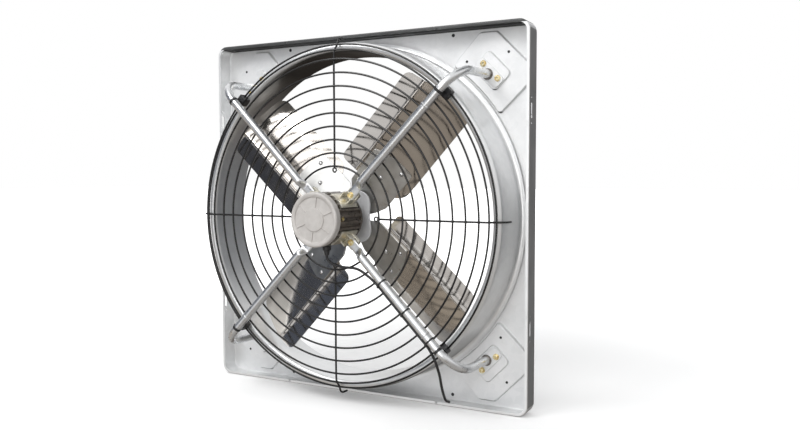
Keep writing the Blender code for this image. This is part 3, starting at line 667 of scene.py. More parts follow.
def make_panel():
    bm = bmesh.new()
    points, radii = pad_outline()
    pad = rounded(points, radii, 5)
    holes = [circle(OPENING_R, 144)]
    holes += [make_pad(bm, pad, angle) for angle in QUARTERS]
    for angle in QUARTERS:
        for along in (-SIDE_HOLE_ALONG, SIDE_HOLE_ALONG):
            holes.append(turned_outline(circle(FACE_HOLE_R, 16, (along, HALF - SIDE_HOLE_IN)), angle))
    fillet = 0.004
    start = square(HALF - SHEET - fillet, RIM_CORNER - SHEET - fillet)
    region(bm, start, holes, SHEET)
    make_rim(bm, start, fillet)
    bmesh.ops.remove_doubles(bm, verts=bm.verts, dist=1e-6)
    bmesh.ops.recalc_face_normals(bm, faces=bm.faces)
    bm.normal_update()
    flat = max(bm.faces, key=lambda f: abs(f.normal.z) * f.calc_area())
    if flat.normal.z < 0.0:
        bmesh.ops.reverse_faces(bm, faces=bm.faces)
    obj = piece("panel_sheet", bm, GALVANISED, ["panel"], closed=False)
    solidify(obj, SHEET, cutters=[rim_cutter()])


def rim_cutter():
    """What is punched out of the rim: lap notches in the hem, and hanging slots in the sides."""
    notch_along, notch_half = 0.243, 0.0035
    slot_up, slot_middle, through, ease_edge = 0.275, -0.038, 0.004, 0.0004
    bm = bmesh.new()
    for angle in QUARTERS:
        for along in (-notch_along, notch_along):
            notch = corners(along - notch_half, along + notch_half, HALF - 0.009, HALF - 0.0026)
            plate(bm, turned_outline(notch, angle), RIM_DEPTH - 0.006, RIM_DEPTH + 0.002, ease_edge)
    lying = rotation(90.0, "Y")
    for wall in (-HALF, HALF):
        for up in (-slot_up, slot_up):
            slot = corners(slot_middle - 0.004, slot_middle + 0.004, up - 0.02, up + 0.02)
            shapes = [rounded(slot, 0.0039, 4)]
            shapes += [circle(0.0026, 12, (slot_middle, up + beyond)) for beyond in (-0.032, 0.032)]
            for shape in shapes:
                plate(bm, shape, wall - through, wall + through, ease_edge, lying)
    bmesh.ops.recalc_face_normals(bm, faces=bm.faces)
    return new_object("rim_cutter", bm, FAN)


def make_hole_shade_plugs():
    """Dark plug-shaped cups in the panel's unused holes: painted shade, standing in for the dark seen
    through them.
    """
    profile = lifted([(0.0, -0.0012), (0.0018, -0.001), (0.0024, 0.0003), (0.004, 0.0006),
                      (0.0046, 0.0003), (0.0046, 0.0001), (FACE_HOLE_R - 0.0003, 0.0001)], SHEET)
    profile += [(FACE_HOLE_R - 0.0005, 0.0003), (0.0, 0.0003)]
    shrink = Matrix.Diagonal((0.78, 0.78, 1.0, 1.0))
    bm = bmesh.new()
    for angle in QUARTERS:
        for x, y in side_holes(angle):
            lathe(bm, profile, 20, Matrix.Translation((x, y, 0.0)), closed=False)
        for x, y in turned_outline(PAD_HOLES, angle + 45):
            lathe(bm, profile, 20, Matrix.Translation((x, y, PAD_RISE)) @ shrink, closed=False)
    # black cups that paint the shade seen through the holes
    piece("hole_shade_plugs", bm, PLASTIC_BLACK, ["panel"])


def make_inlet_ring():
    """The bell mouth: flange, fillet, outer wall, rolled lip and inner wall of one spun sheet."""
    lip = (WALL_R - THROAT_R - SHEET / 2) / 2
    middle = THROAT_R + SHEET / 2 + lip
    roll = MOUTH_FRONT - SHEET / 2 - lip
    line = [(FLANGE_R, FLANGE_DEPTH), (FLANGE_R - 0.004, FLANGE_DEPTH)]
    line += arc((WALL_R + 0.009, FLANGE_DEPTH + 0.009), 0.009, 270.0, 180.0, 6)
    line += [(WALL_R, FLANGE_DEPTH + 0.05), (WALL_R, roll - 0.02)]
    line += arc((middle, roll), lip, 0.0, 180.0, 16)
    line += [(middle - lip, roll - 0.03), (middle - lip, MOUTH_BACK + 0.03), (middle - lip, MOUTH_BACK)]
    bm = bmesh.new()
    lathe(bm, line, 160, closed=False)
    obj = piece("inlet_ring", bm, SPUN_ZINC, ["bell_mouth"], closed=False)
    solidify(obj, SHEET, 0.0)


# ---- guard ----
def bead(bm, centre, radii, matrix):
    """A small weld nugget."""
    at = matrix @ Matrix.Translation(centre) @ Matrix.Diagonal((*radii, 1.0))
    lathe(bm, arc((0.0, 0.0), 1.0, 90.0, -90.0, 6), 8, at, closed=False)


def make_guard():
    """Rings welded to four radial wires, which hook over the mouth's lip and end in small eyes."""
    bm = bmesh.new()
    rings = [(GUARD_INNER_R + GUARD_PITCH * i, GUARD_FLAT) for i in range(GUARD_RINGS)]
    rings += GUARD_EDGE
    for radius, depth in rings:
        lathe(bm, circle(WIRE_R, 8, (radius, depth)), 160)
    under = WIRE_R * 1.2
    (near_r, near_z), (far_r, far_z) = GUARD_EDGE
    route = [(GUARD_INNER_R - 0.006, GUARD_FLAT - under), (0.25, GUARD_FLAT - under),
             (0.415, GUARD_FLAT - under), (near_r, near_z - under), (far_r, far_z - under),
             (0.47, 0.147), (0.476, 0.136), (0.477, 0.116)]
    spoke = smooth_route([(r, 0.0, z) for r, z in route], 6)
    for quarter in QUARTERS:
        turn = rotation(quarter)
        eye = turn @ Matrix.Translation((GUARD_INNER_R - 0.01, 0.0, GUARD_FLAT - under))
        lathe(bm, circle(WIRE_R * 0.8, 8, (0.0055, 0.0)), 20, eye)
        side = turn @ Vector((0.0, 1.0, 0.0))
        sweep(bm, [turn @ p for p in spoke], side, [circle(WIRE_R, 10)] * len(spoke))
        for radius, depth in rings:
            bead(bm, (radius, 0.0, depth - under / 2), (0.004, 0.0034, 0.003), turn)
    piece("guard_wires", bm, WIRE_BLACK, ["wire_guard"])


# ---- arms ----
def filleted(points, radius, count=14):
    """A path through points with each inner corner rounded."""
    path = [Vector(points[0])]
    for before, here, after in zip(points, points[1:], points[2:]):
        before, here, after = Vector(before), Vector(here), Vector(after)
        d_in = (here - before).normalized()
        d_out = (after - here).normalized()
        turn = d_in.angle(d_out)
        back = radius * math.tan(turn / 2)
        centre = here - d_in * back + (d_out - d_in * d_in.dot(d_out)).normalized() * radius
        first = here - d_in * back - centre
        axis = d_in.cross(d_out).normalized()
        path += [centre + Matrix.Rotation(turn * i / count, 3, axis) @ first for i in range(count + 1)]
    path.append(Vector(points[-1]))
    return path


def resampled(path, spacing):
    dense = [path[0]]
    for a, b in zip(path, path[1:]):
        count = max(1, math.ceil((b - a).length / spacing))
        dense += [a.lerp(b, i / count) for i in range(1, count + 1)]
    return dense


def ease(value, start, end):
    t = min(1.0, max(0.0, (value - start) / (end - start)))
    return t * t * (3.0 - 2.0 * t)


def arm_section(point, tip):
    """The arm's outline at a point: round, a little wider inside the swage, and flat at the motor."""
    tab_width, tab_height = 0.0125, 0.0025
    r = point.xy.length
    flat = 1.0 - ease(r, 0.116, 0.138) if point.z > ARM_DEPTH - 0.002 else 0.0
    wide = r < SWAGE_R - 0.002 and point.z > ARM_DEPTH - 0.004
    round_r = TUBE_R * (1.0 if wide else 0.96)
    width = round_r * (1.0 - flat) + tab_width * flat
    if r < tip + tab_width:
        width *= math.sqrt(max(0.03, 1.0 - ((tip + tab_width - r) / tab_width) ** 2))
    height = round_r * (1.0 - flat) + tab_height * flat
    return ellipse(width, height, 28, (ARM_DEPTH - TAB_DEPTH) * flat)


def along_arm(radius, angle):
    """Matrix whose z runs outwards along an arm, from a point of its axis."""
    place = Matrix.Translation(radial(radius, 0, ARM_DEPTH, angle)) @ Matrix.Rotation(angle, 4, "Z")
    return place @ rotation(90.0, "Y")


def make_arm(name, angle):
    """A bent tube with a swaged sleeve, pressed flat at its motor end, and its weld at the foot."""
    tip = ARM_INNER - 0.036
    foot_top = FOOT_SEAT + FOOT_SHEET
    points = [radial(ARM_OUTER, 0, foot_top, angle), radial(ARM_OUTER - 0.004, 0, ARM_DEPTH, angle),
              radial(tip, 0, ARM_DEPTH, angle)]
    path = resampled(filleted(points, ARM_BEND), 0.004)
    bm = bmesh.new()
    sweep(bm, path, radial(0.0, 1.0, 0.0, angle), [arm_section(point, tip) for point in path])
    collar = [(TUBE_R * 0.9, -0.003), (TUBE_R + 0.0002, -0.003), (TUBE_R + 0.0009, -0.002),
              (TUBE_R + 0.0009, 0.001), (TUBE_R * 0.93, 0.003), (TUBE_R * 0.9, 0.003)]
    lathe(bm, collar, 32, along_arm(SWAGE_R, angle))
    piece(f"arm_tube_{name}", bm, TUBE_ZINC, [f"arm_{name}"])

    bm = bmesh.new()
    weld = [(0.009, 0.0002), (0.015, 0.0002), (0.0146, 0.0022), (0.0132, 0.0044), (0.0116, 0.0056),
            (0.009, 0.0056)]
    lathe(bm, weld, 32, Matrix.Translation(radial(ARM_OUTER, 0, foot_top, angle)))
    piece(f"arm_weld_{name}", bm, WELD, [f"arm_{name}"])


def hex_bolt(bm, centre, seat, back, matrix=Matrix()):
    """A hexagon bolt with a chamfered and hollowed head, along z."""
    at = matrix @ Matrix.Translation((centre[0], centre[1], 0.0))
    crown = BOLT_HEAD_R * 0.84
    front = seat + BOLT_HEAD_H
    rim = []
    for i in range(24):
        a = math.tau * i / 24
        beyond = (a + math.pi / 6) % (math.pi / 3) - math.pi / 6
        flat_r = BOLT_HEAD_R * math.cos(math.pi / 6) / math.cos(beyond)
        rim.append((flat_r * math.cos(a), flat_r * math.sin(a), max(0.0, flat_r - crown) * 0.55))
    rows = [ring_of(bm, circle(BOLT_SHANK_R, 24), back, at),
            ring_of(bm, circle(BOLT_SHANK_R, 24), seat, at),
            [bm.verts.new(at @ Vector((x, y, seat))) for x, y, _ in rim],
            [bm.verts.new(at @ Vector((x, y, front - drop))) for x, y, drop in rim],
            ring_of(bm, circle(crown, 24), front, at),
            ring_of(bm, circle(crown * 0.62, 24), front - 0.0001, at),
            ring_of(bm, circle(crown * 0.52, 24), front - 0.0026, at)]
    closed_bar(bm, rows)


def washer(bm, centre, inner, outer, z0, z1, matrix=Matrix()):
    edge = (z1 - z0) * 0.3
    profile = [(inner, z0), (outer - edge, z0), (outer, z0 + edge), (outer, z1 - edge),
               (outer - edge, z1), (inner, z1)]
    lathe(bm, profile, 32, matrix @ Matrix.Translation((centre[0], centre[1], 0.0)))


def make_foot(name, angle):
    """The foot plate, and its two bolts on washers."""
    outline = rounded(corners(0.515, 0.549, -0.043, 0.043), 0.01, 6)
    bm = bmesh.new()
    plate(bm, turned_outline(outline, math.degrees(angle)), FOOT_SEAT, FOOT_SEAT + FOOT_SHEET, 0.0007)
    piece(f"foot_plate_{name}", bm, GALVANISED, [f"arm_foot_{name}"])
    seat = FOOT_SEAT + FOOT_SHEET
    for number, side in enumerate((-1, 1), start=1):
        at = radial(FOOT_RADIUS, side * FOOT_BOLT_SPREAD, 0, angle)
        bm = bmesh.new()
        washer(bm, at, 0.004, 0.0086, seat + 0.0001, seat + 0.0012)
        hex_bolt(bm, at, seat + 0.0013, FOOT_SEAT)
        piece(f"foot_screw_{name}_{number}", bm, YELLOW_ZINC, [f"foot_bolt_{name}_{number}"])


def make_clip(name, angle):
    """A thin band round the arm, on a block that grips the mouth's lip and the guard's outer wires."""
    inner, outer, half, edge = TUBE_R + 0.0001, TUBE_R + 0.0012, 0.0035, 0.0005
    bm = bmesh.new()
    lathe(bm, [(inner, -half), (outer - 0.0004, -half), (outer, edge - half), (outer, half - edge),
               (outer - 0.0004, half), (inner, half)], 40, along_arm(CLIP_R, angle))
    strap = rounded(corners(CLIP_R - 0.005, CLIP_R + 0.005, -0.006, 0.006), 0.002, 3)
    block = rounded(corners(THROAT_R - 0.002, WALL_R + 0.003, -0.018, 0.006), 0.004, 4)
    degrees = math.degrees(angle)
    plate(bm, turned_outline(strap, degrees), MOUTH_FRONT + 0.02, ARM_DEPTH - TUBE_R, 0.0008)
    plate(bm, turned_outline(block, degrees), MOUTH_FRONT + 0.0005, MOUTH_FRONT + 0.0235, 0.003)
    piece(f"clip_{name}", bm, PLASTIC_BLACK, [f"guard_clip_{name}"])


# ---- motor ----
def make_cap():
    """Round end cover: rolled rim, a ring, six ribs between the rings, and a raised centre disc."""
    inside = CAP_FRONT - 0.007
    outline = lifted([(0.0, -0.0012), (0.027, -0.0014), (0.0295, -0.002), (0.0306, -0.0042),
                      (0.033, -0.0046), (0.056, -0.0046), (0.0575, -0.0042), (0.059, -0.002),
                      (0.06, -0.0014), (0.062, -0.001), (0.063, -0.0002), (0.065, 0.0)], CAP_FRONT)
    outline += arc((CAP_R - 0.005, CAP_FRONT - 0.005), 0.005, 84.0, 0.0, 7)
    outline += [(CAP_R, CAP_BACK + 0.002), (CAP_R - 0.0008, CAP_BACK), (CAP_R - 0.0025, CAP_BACK),
                (CAP_R - 0.0025, inside), (0.0, inside)]
    bm = bmesh.new()
    lathe(bm, outline, 96, closed=False)
    rib = rounded(corners(0.03, 0.059, -0.0013, 0.0013), 0.0006, 3)
    for i in range(6):
        plate(bm, turned_outline(rib, 22.0 + 60.0 * i), CAP_FRONT - 0.006, CAP_FRONT - 0.0026, 0.0005)
    piece("motor_end_cap", bm, CAP_PAINT, ["motor_cap"])


def make_barrel():
    """The finned barrel, bored through."""
    fins, bore_r, low, shoulder = 26, 0.056, HOUSING_R - 0.007, HOUSING_R - 0.0012
    fin = ((0.06, low), (0.22, low + 0.0004), (0.3, shoulder), (0.36, HOUSING_R),
           (0.64, HOUSING_R), (0.7, shoulder), (0.78, low + 0.0004), (0.94, low))
    outline = []
    for i in range(fins):
        for share, r in fin:
            angle = math.tau * (i + share) / fins
            outline.append((r * math.cos(angle), r * math.sin(angle)))
    bore = circle(bore_r, len(outline))
    bm = bmesh.new()
    small = scaled(outline, 0.97)
    levels = ((bore, HOUSING_BACK), (small, HOUSING_BACK), (outline, HOUSING_BACK + 0.002),
              (outline, HOUSING_FRONT - 0.002), (small, HOUSING_FRONT), (bore, HOUSING_FRONT))
    bridge(bm, stack(bm, levels), loop_rows=True)
    piece("motor_barrel", bm, ENAMEL, ["motor_housing"], angle=50.0)


def make_brackets():
    """Pale saddles on the barrel, each with a lug for an arm and two webs."""
    lug_end, web_end, web_out, web_half = 0.102, 0.086, 0.0135, 0.0018
    bm = bmesh.new()
    for degrees in QUADRANTS.values():
        saddle = arc((0, 0), HOUSING_R + 0.003, degrees - 20.0, degrees + 20.0, 10)
        saddle += arc((0, 0), HOUSING_R - 0.006, degrees + 20.0, degrees - 20.0, 10)
        plate(bm, saddle, 0.158, 0.232, 0.0008)
        lug = rounded(corners(HOUSING_R - 0.004, lug_end, -0.017, 0.017), [0.0, 0.006, 0.006, 0.0], 5)
        plate(bm, turned_outline(lug, degrees), *LUG_DEPTH, 0.0008)
        for y in (-web_out, web_out):
            web = rounded(corners(HOUSING_R - 0.002, web_end, y - web_half, y + web_half), 0.0005, 2)
            plate(bm, turned_outline(web, degrees), LUG_DEPTH[1] - 0.001, LUG_DEPTH[1] + 0.022, 0.0006)
    piece("motor_brackets", bm, PALE_ZINC, ["motor_housing"])


def make_barrel_screws():
    bm = bmesh.new()
    at = (-HOUSING_FRONT + 0.01, 0.0)
    for degrees in (2.0, 182.0):
        out = rotation(degrees) @ rotation(90.0, "Y")
        hex_bolt(bm, at, HOUSING_R - 0.0035, HOUSING_R - 0.008, out)
        washer(bm, at, 0.004, 0.0085, HOUSING_R - 0.0046, HOUSING_R - 0.0036, out)
    piece("barrel_screws", bm, YELLOW_ZINC, ["motor_housing"])


def make_lug_bolt(name, angle):
    at = radial(LUG_BOLT_RADIUS, 0, 0, angle)
    seat = TAB_DEPTH + 0.0026
    bm = bmesh.new()
    washer(bm, at, 0.004, 0.0088, seat, seat + 0.0012)
    hex_bolt(bm, at, seat + 0.0013, LUG_DEPTH[0] - 0.006)
    piece(f"lug_screw_{name}", bm, YELLOW_ZINC, [f"lug_bolt_{name}"])


def make_drive_shield():
    hole = SHAFT_R + 0.002
    wall = HOUSING_R - 0.003
    outline = lifted([(hole, 0.003), (0.0203, 0.003), (0.0203, 0.016), (0.045, 0.01)], SHIELD_BACK)
    outline += lifted([(0.052, -0.0003), (wall, -0.0003), (wall, -0.007), (HOUSING_R - 0.0045, -0.009)],
                      HOUSING_BACK)
    outline += lifted([(HOUSING_R - 0.013, 0.003), (HOUSING_R - 0.016, 0.0018), (0.034, 0.0012),
                       (0.032, 0.0), (hole, 0.0)], SHIELD_BACK)
    bm = bmesh.new()
    lathe(bm, outline, 72)
    piece("shield_casting", bm, ENAMEL, ["drive_end_shield"])


# ---- rotor ----
SPIN = Matrix.Rotation(ROTOR_ANGLE, 4, "Z")


def blade_frame(index):
    """Fan-frame matrix: x along the radius, y across the face, z the face's normal."""
    lift = Matrix.Translation((0, 0, BLADE_DEPTH))
    return SPIN @ rotation(45.0 + 90.0 * index) @ lift @ Matrix.Rotation(BLADE_PITCH, 4, "X")


def bent(past, grade, bend=0.0035):
    """How far a sheet falls past a soft fold."""
    return grade * (past + math.sqrt(past * past + bend * bend)) / 2 - grade * bend / 2


def blade_face(v):
    """Height of the blade's face over its pitch plane, with a pressed bead along the crease."""
    flap = bent(BLADE_CREASE - v, 0.22)
    fall = bent(v - BLADE_FLAT_END, 0.1)
    return 0.0016 * math.exp(-((v - BLADE_CREASE + 0.004) / 0.0034) ** 2) - flap - fall


def blade_rows():
    """Places across the blade, closer together at the crease and near both edges."""
    rows = [BLADE_LEAD + 0.03 * (1 - math.cos(math.pi / 2 * i / 6)) for i in range(6)]
    rows += [BLADE_LEAD + 0.03 + 0.004 * i for i in range(3)]
    rows += [BLADE_CREASE - 0.014 + 0.00125 * i for i in range(20)]
    start, end = BLADE_CREASE + 0.012, BLADE_TRAIL - 0.05
    rows += [start + (end - start) * i / 14 for i in range(14)]
    rows += [BLADE_TRAIL - 0.05 * (1 - math.sin(math.pi / 2 * i / 9)) for i in range(10)]
    return rows


def shortfall(edge, radius):
    """How far a corner of this radius cuts in, at a distance from the edge."""
    if edge >= radius:
        return 0.0
    return radius - math.sqrt(max(0.0, edge * (2 * radius - edge)))


def make_blade(index):
    bm = bmesh.new()
    rows = []
    for v in blade_rows():
        edge = min(v - BLADE_LEAD, BLADE_TRAIL - v)
        tip_round, root_round = (0.015, 0.018) if v < 0.0 else (0.022, 0.046)
        tip = math.sqrt(TIP_R ** 2 - (v * math.cos(BLADE_PITCH)) ** 2) - shortfall(edge, tip_round)
        root = BLADE_ROOT + 0.9 * shortfall(edge, root_round)
        rows.append([bm.verts.new((root + (tip - root) * i / 40, -v, blade_face(v))) for i in range(41)])
    bridge(bm, rows, loop_columns=False)
    obj = piece(f"blade_sheet_{index + 1}", bm, STAINLESS, [f"blade_{index + 1}"], blade_frame(index),
                body="rotor", closed=False)
    solidify(obj, BLADE_SHEET, 0.0)


def spider_point(turn, inward):
    """A point of the hub flange's waved outline, which reaches out along the four blades."""
    angle = math.tau * turn
    radius = HUB_R + 0.011 + 0.009 * math.cos(4.0 * angle - math.pi) - inward
    return max(0.03, radius) * math.cos(angle), max(0.03, radius) * math.sin(angle)


def make_hub():
    """The turned boss and the pressed flange round it."""
    flange_back, flange_front = HUB_FLANGE
    back, front = BOSS_DEPTH
    hole = SHAFT_R + 0.0003
    outline = lifted([(hole, -0.001), (hole + 0.001, 0.0), (0.028, 0.0), (0.03, -0.002)], front)
    outline += lifted([(0.0302, 0.005), (0.0312, 0.0028), (0.034, 0.001), (0.038, -0.0004)],
                      flange_front)
    outline += lifted([(0.038, 0.0006), (0.029, 0.0), (0.0262, -0.002)], flange_back)
    outline += lifted([(0.0245, 0.0015), (0.023, 0.0), (hole, 0.0)], back)
    bm = bmesh.new()
    lathe(bm, outline, 96, SPIN)
    rim = lifted([(0.048, 0.0), (0.006, 0.0), (0.0025, 0.0008), (0.0008, 0.0004), (0.0, -0.001)],
                 flange_front)
    rim += lifted([(0.0, 0.001), (0.001, 0.0), (0.048, 0.0)], flange_back)
    levels = [([spider_point(i / 96, inward) for i in range(96)], z) for inward, z in rim]
    bridge(bm, stack(bm, levels, SPIN), loop_rows=True)
    piece("hub_boss", bm, HUB_STEEL, ["hub_spider"], body="rotor")


def hub_plate_outline():
    """A plate on a blade's face: narrow at the hub, and an arc round the axis at its outer end."""
    top, bottom = -BLADE_CREASE - 0.003, 0.055
    points = [(0.017, -0.016), (0.05, -0.04), (0.08, -bottom)]
    first, last = -math.asin(bottom / PLATE_END_R), math.asin(top / PLATE_END_R)
    points += arc((0.0, 0.0), PLATE_END_R, math.degrees(first), math.degrees(last), 12)
    points += [(0.085, top), (0.05, 0.04), (0.017, 0.016)]
    radii = [0.0, 0.01, 0.014, 0.006] + [0.0] * 11 + [0.006, 0.014, 0.01, 0.0]
    return rounded(points, radii, 5)


def make_hub_plates():
    low = BLADE_SHEET / 2 + PLATE_GAP
    for index in range(4):
        bm = bmesh.new()
        plate(bm, hub_plate_outline(), low, low + PLATE_SHEET, 0.0006)
        piece(f"hub_plate_{index + 1}", bm, PLATE_STEEL, ["hub_spider"], blade_frame(index), body="rotor")


def make_shaft():
    """The shaft, with a centre hole in its rear end, and the hexagon nut on it."""
    bm = bmesh.new()
    nut_back = depths("hub_nut")[0]
    plate(bm, rounded(circle(0.0165, 6), 0.0012, 3), nut_back, nut_back + 0.009, 0.001, SPIN)
    piece("shaft_nut", bm, YELLOW_ZINC, ["hub_nut"], body="rotor")
    bm = bmesh.new()
    end_z = depths("motor_shaft")[1]
    line = [(0.0, end_z), (SHAFT_R, end_z), (SHAFT_R, SHAFT_BACK + 0.0012), (SHAFT_R - 0.0012, SHAFT_BACK),
            (0.003, SHAFT_BACK), (0.0012, SHAFT_BACK + 0.003), (0.0, SHAFT_BACK + 0.003)]
    lathe(bm, line, 40, SPIN, closed=False)
    piece("shaft_bar", bm, BRIGHT_STEEL, ["motor_shaft"], body="rotor")


def make_rivets(index):
    front = BLADE_SHEET / 2 + PLATE_GAP + PLATE_SHEET + PLATE_GAP
    back = -BLADE_SHEET / 2 - PLATE_GAP
    line = lifted([(0.0, 0.003), (0.0016, 0.0029), (0.0032, 0.0025), (0.0046, 0.0017), (0.0056, 0.0008),
                   (0.006, 0.0), (0.0028, 0.0)], front)
    line += lifted([(0.0028, 0.0), (0.0055, 0.0), (0.0052, -0.001), (0.0042, -0.0019),
                    (0.0026, -0.0024), (0.0, -0.0025)], back)
    for number, (r, v) in enumerate(RIVETS, start=1):
        bm = bmesh.new()
        lathe(bm, line, 24, Matrix.Translation((r, -v, 0.0)), closed=False)
        piece(f"rivet_{index + 1}_{number}", bm, BRIGHT_STEEL, [f"blade_rivet_{index + 1}_{number}"],
              blade_frame(index), body="rotor")


# ---- gland and ties ----
def make_gland():
    """Compression gland: hexagon body, domed nut, ribbed tapered strain relief."""
    seat = HOUSING_R + 0.0003
    down = Matrix.Translation((0, 0, GLAND_DEPTH)) @ rotation(90.0, "X")
    bm = bmesh.new()
    plate(bm, rounded(circle(0.013, 6), 0.001, 3), seat, seat + 0.004, 0.0007, down)
    bore = CORD_R + 0.0003
    sleeve = [(bore, seat + 0.0041), (0.011, seat + 0.0041), (0.011, seat + 0.011),
              (0.0095, seat + 0.0125), (0.0082, seat + 0.013)]
    for i in range(3):
        z = seat + 0.014 + 0.0033 * i
        r = 0.0078 - 0.0006 * i
        sleeve += [(r, z), (r, z + 0.0018), (r - 0.0009, z + 0.0022), (r - 0.0009, z + 0.0031)]
    sleeve += [(0.006, GLAND_TIP - 0.0004), (0.0054, GLAND_TIP), (bore, GLAND_TIP)]
    lathe(bm, sleeve, 32, down)
    piece("gland_body", bm, PLASTIC_BLACK, ["cable_gland"])


def tie_loop(gap):
    """An outline round the arm and the cord together, a gap away from both."""
    spread = math.degrees(math.acos((TUBE_R - CORD_R) / CORD_SIDE))
    return (arc((CORD_SIDE, 0.0), CORD_R + gap, -spread, spread, 10)
            + arc((0.0, 0.0), TUBE_R + gap, spread, 360.0 - spread, 24))


def make_ties():
    """Ratchet ties round the arm and the cord, with their square heads."""
    arm = math.radians(QUADRANTS["bottom_right"])
    inner, outer, half = tie_loop(0.0004), tie_loop(0.0016), 0.0022
    head = rounded(corners(-0.003, 0.003, TUBE_R, TUBE_R + 0.004), 0.0008, 3)
    for number, r in enumerate(TIE_RADII, start=1):
        at = along_arm(r, arm) @ rotation(-90.0)
        bm = bmesh.new()
        levels = ((inner, -half), (outer, -half), (outer, half), (inner, half))
        bridge(bm, stack(bm, levels, at), loop_rows=True)
        plate(bm, head, -0.003, 0.003, 0.0005, at)
        piece(f"tie_{number}", bm, PLASTIC_BLACK, [f"cord_tie_{number}"])


# ---- carried-over CAD nodes ----
def finish_cad_nodes():
    """Inner pieces keep their CAD shape and get real finishes."""
    finishes = {"stator_core": LAMINATION, "rotor_core": LAMINATION, "bearing_front": BRIGHT_STEEL,
                "bearing_rear": BRIGHT_STEEL, "cap_end_shield": ENAMEL}
    for node, mat in finishes.items():
        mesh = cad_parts[node].data
        mesh.materials.clear()
        mesh.materials.append(mat)


# ---- stage ----
def make_floor():
    bm = bmesh.new()
    bmesh.ops.create_grid(bm, x_segments=1, y_segments=1, size=30.0)
    floor = new_object("floor", bm)
    floor.location = (0.0, 0.0, CAD_BOX[0].z - 0.0005)
    floor.data.materials.append(floor_material())
    floor.visible_glossy = False
    floor.visible_diffuse = False


def floor_material():
    """Pale matt floor that brightens into the white backdrop away from the fan."""
    mat = bpy.data.materials.new("floor")
    mat.use_nodes = True
    tree = mat.node_tree
    shader = tree.nodes["Principled BSDF"]
    shader.inputs["Base Color"].default_value = (0.86, 0.86, 0.86, 1.0)
    shader.inputs["Roughness"].default_value = 0.9
    shader.inputs["Specular IOR Level"].default_value = 0.1
    shader.inputs["Emission Color"].default_value = (1.0, 1.0, 1.0, 1.0)
    place = add_node(tree, "TexCoord").outputs["Object"]
    length = add_node(tree, "VectorMath", (), {0: place}, operation="LENGTH")
    limits = {"From Min": 0.5, "From Max": 3.5, "To Min": 0.22, "To Max": 1.0}
    fade = add_node(tree, "MapRange", limits, {"Value": length.outputs["Value"]},
                    rise="SMOOTHSTEP")
    tree.links.new(fade.outputs["Result"], shader.inputs["Emission Strength"])
    return mat


# What the metal reflects: direction, the cosines where each begins and is full, and its colour.
SURROUNDINGS = (
    ((0.0, 0.86, -0.5), 0.55, 0.85, (0.1, 0.082, 0.068)),       # dark ground behind
    ((0.55, 0.83, 0.02), 0.72, 0.92, (0.08, 0.085, 0.095)),       # dark side behind, to the right
    ((-0.54, -0.82, -0.16), 0.8, 0.95, (0.86, 0.87, 0.89)),      # bright side in front, to the left
    ((-0.08, -0.86, 0.51), 0.93, 0.98, (2.1, 2.1, 2.1)),       # window high in front
    ((0.36, 0.14, 0.91), 0.88, 0.95, (0.12, 0.13, 0.14)),         # dark canopy overhead
    ((0.08, -0.84, -0.54), 0.9, 0.97, (0.38, 0.345, 0.305)),     # brownish ground in front
    ((-0.92, -0.33, 0.22), 0.8, 0.9, (0.1, 0.115, 0.15)),      # dark slate side at the left
    ((-0.4, -0.89, 0.23), 0.975, 0.988, (0.06, 0.065, 0.08)),    # narrow dark window frame
    ((-0.83, -0.28, -0.48), 0.87, 0.94, (0.46, 0.41, 0.35)))      # brown ground at the left
HORIZON, ZENITH = (0.42, 0.4, 0.38), (1.0, 1.0, 1.0)
WHITE = (1.0, 1.0, 1.0, 1.0)


def lobe(tree, direction, start, end):
    """1 near the direction and 0 away from it, by the cosine between them."""
    place = add_node(tree, "TexCoord").outputs["Generated"]
    dot = add_node(tree, "VectorMath", {1: Vector(direction).normalized()}, {0: place},
                   operation="DOT_PRODUCT")
    return add_node(tree, "MapRange", {"From Min": start, "From Max": end},
                    {"Value": dot.outputs["Value"]}, rise="SMOOTHSTEP").outputs["Result"]


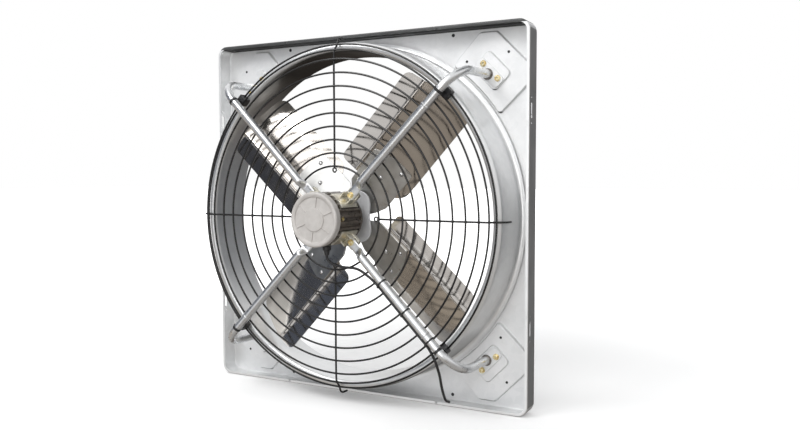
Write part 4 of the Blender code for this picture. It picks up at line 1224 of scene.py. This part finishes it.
def make_world():
    """A white backdrop, with softer surroundings that the metal reflects."""
    world = bpy.data.worlds.new("studio")
    bpy.context.scene.world = world
    world.use_nodes = True
    tree = world.node_tree
    tree.nodes.clear()
    up = lobe(tree, (0, 0, 1), -0.12, 0.3)
    sky = add_node(tree, "Mix", {6: (*HORIZON, 1.0), 7: (*ZENITH, 1.0)}, {"Factor": up}, data_type="RGBA")
    for direction, start, end, colour in SURROUNDINGS:
        near = lobe(tree, direction, start, end)
        sky = add_node(tree, "Mix", {7: (*colour, 1.0)}, {"Factor": near, 6: sky.outputs[2]},
                       data_type="RGBA")
    light = add_node(tree, "Background", (), {"Color": sky.outputs[2]})
    backdrop = add_node(tree, "Background", {"Color": WHITE})
    seen = add_node(tree, "LightPath").outputs["Is Camera Ray"]
    mix = add_node(tree, "MixShader", (), {0: seen, 1: light.outputs["Background"],
                                           2: backdrop.outputs["Background"]})
    add_node(tree, "OutputWorld", (), {"Surface": mix.outputs["Shader"]})


def area_light(name, location, target, size, power):
    data = bpy.data.lights.new(name, "AREA")
    data.shape = "RECTANGLE"
    data.size, data.size_y = size
    data.energy = power
    light = bpy.data.objects.new(name, data)
    light.location = location
    light.rotation_euler = (Vector(target) - Vector(location)).to_track_quat("-Z", "Y").to_euler()
    light.visible_camera = False
    link(light)


def make_lights():
    area_light("key", (-0.9, -1.9, 2.3), (0.0, 0.0, 0.0), (1.4, 1.0), 36.0)
    area_light("fill", (0.5, -3.0, 0.1), (0.0, 0.0, -0.15), (1.6, 1.6), 18.0)


# ---- the model ----
bpy.context.scene.view_settings.view_transform = "Standard"
make_camera()
make_cord()
make_panel()
make_hole_shade_plugs()
make_inlet_ring()
make_guard()
for place, degrees in QUADRANTS.items():
    make_arm(place, math.radians(degrees))
    make_foot(place, math.radians(degrees))
    make_clip(place, math.radians(degrees))
    make_lug_bolt(place, math.radians(degrees))
make_cap()
make_barrel()
make_brackets()
make_barrel_screws()
make_drive_shield()
make_hub()
make_hub_plates()
make_shaft()
for blade in range(4):
    make_blade(blade)
    make_rivets(blade)
make_gland()
make_ties()
finish_cad_nodes()
make_floor()
make_world()
make_lights()

bpy.context.view_layer.update()
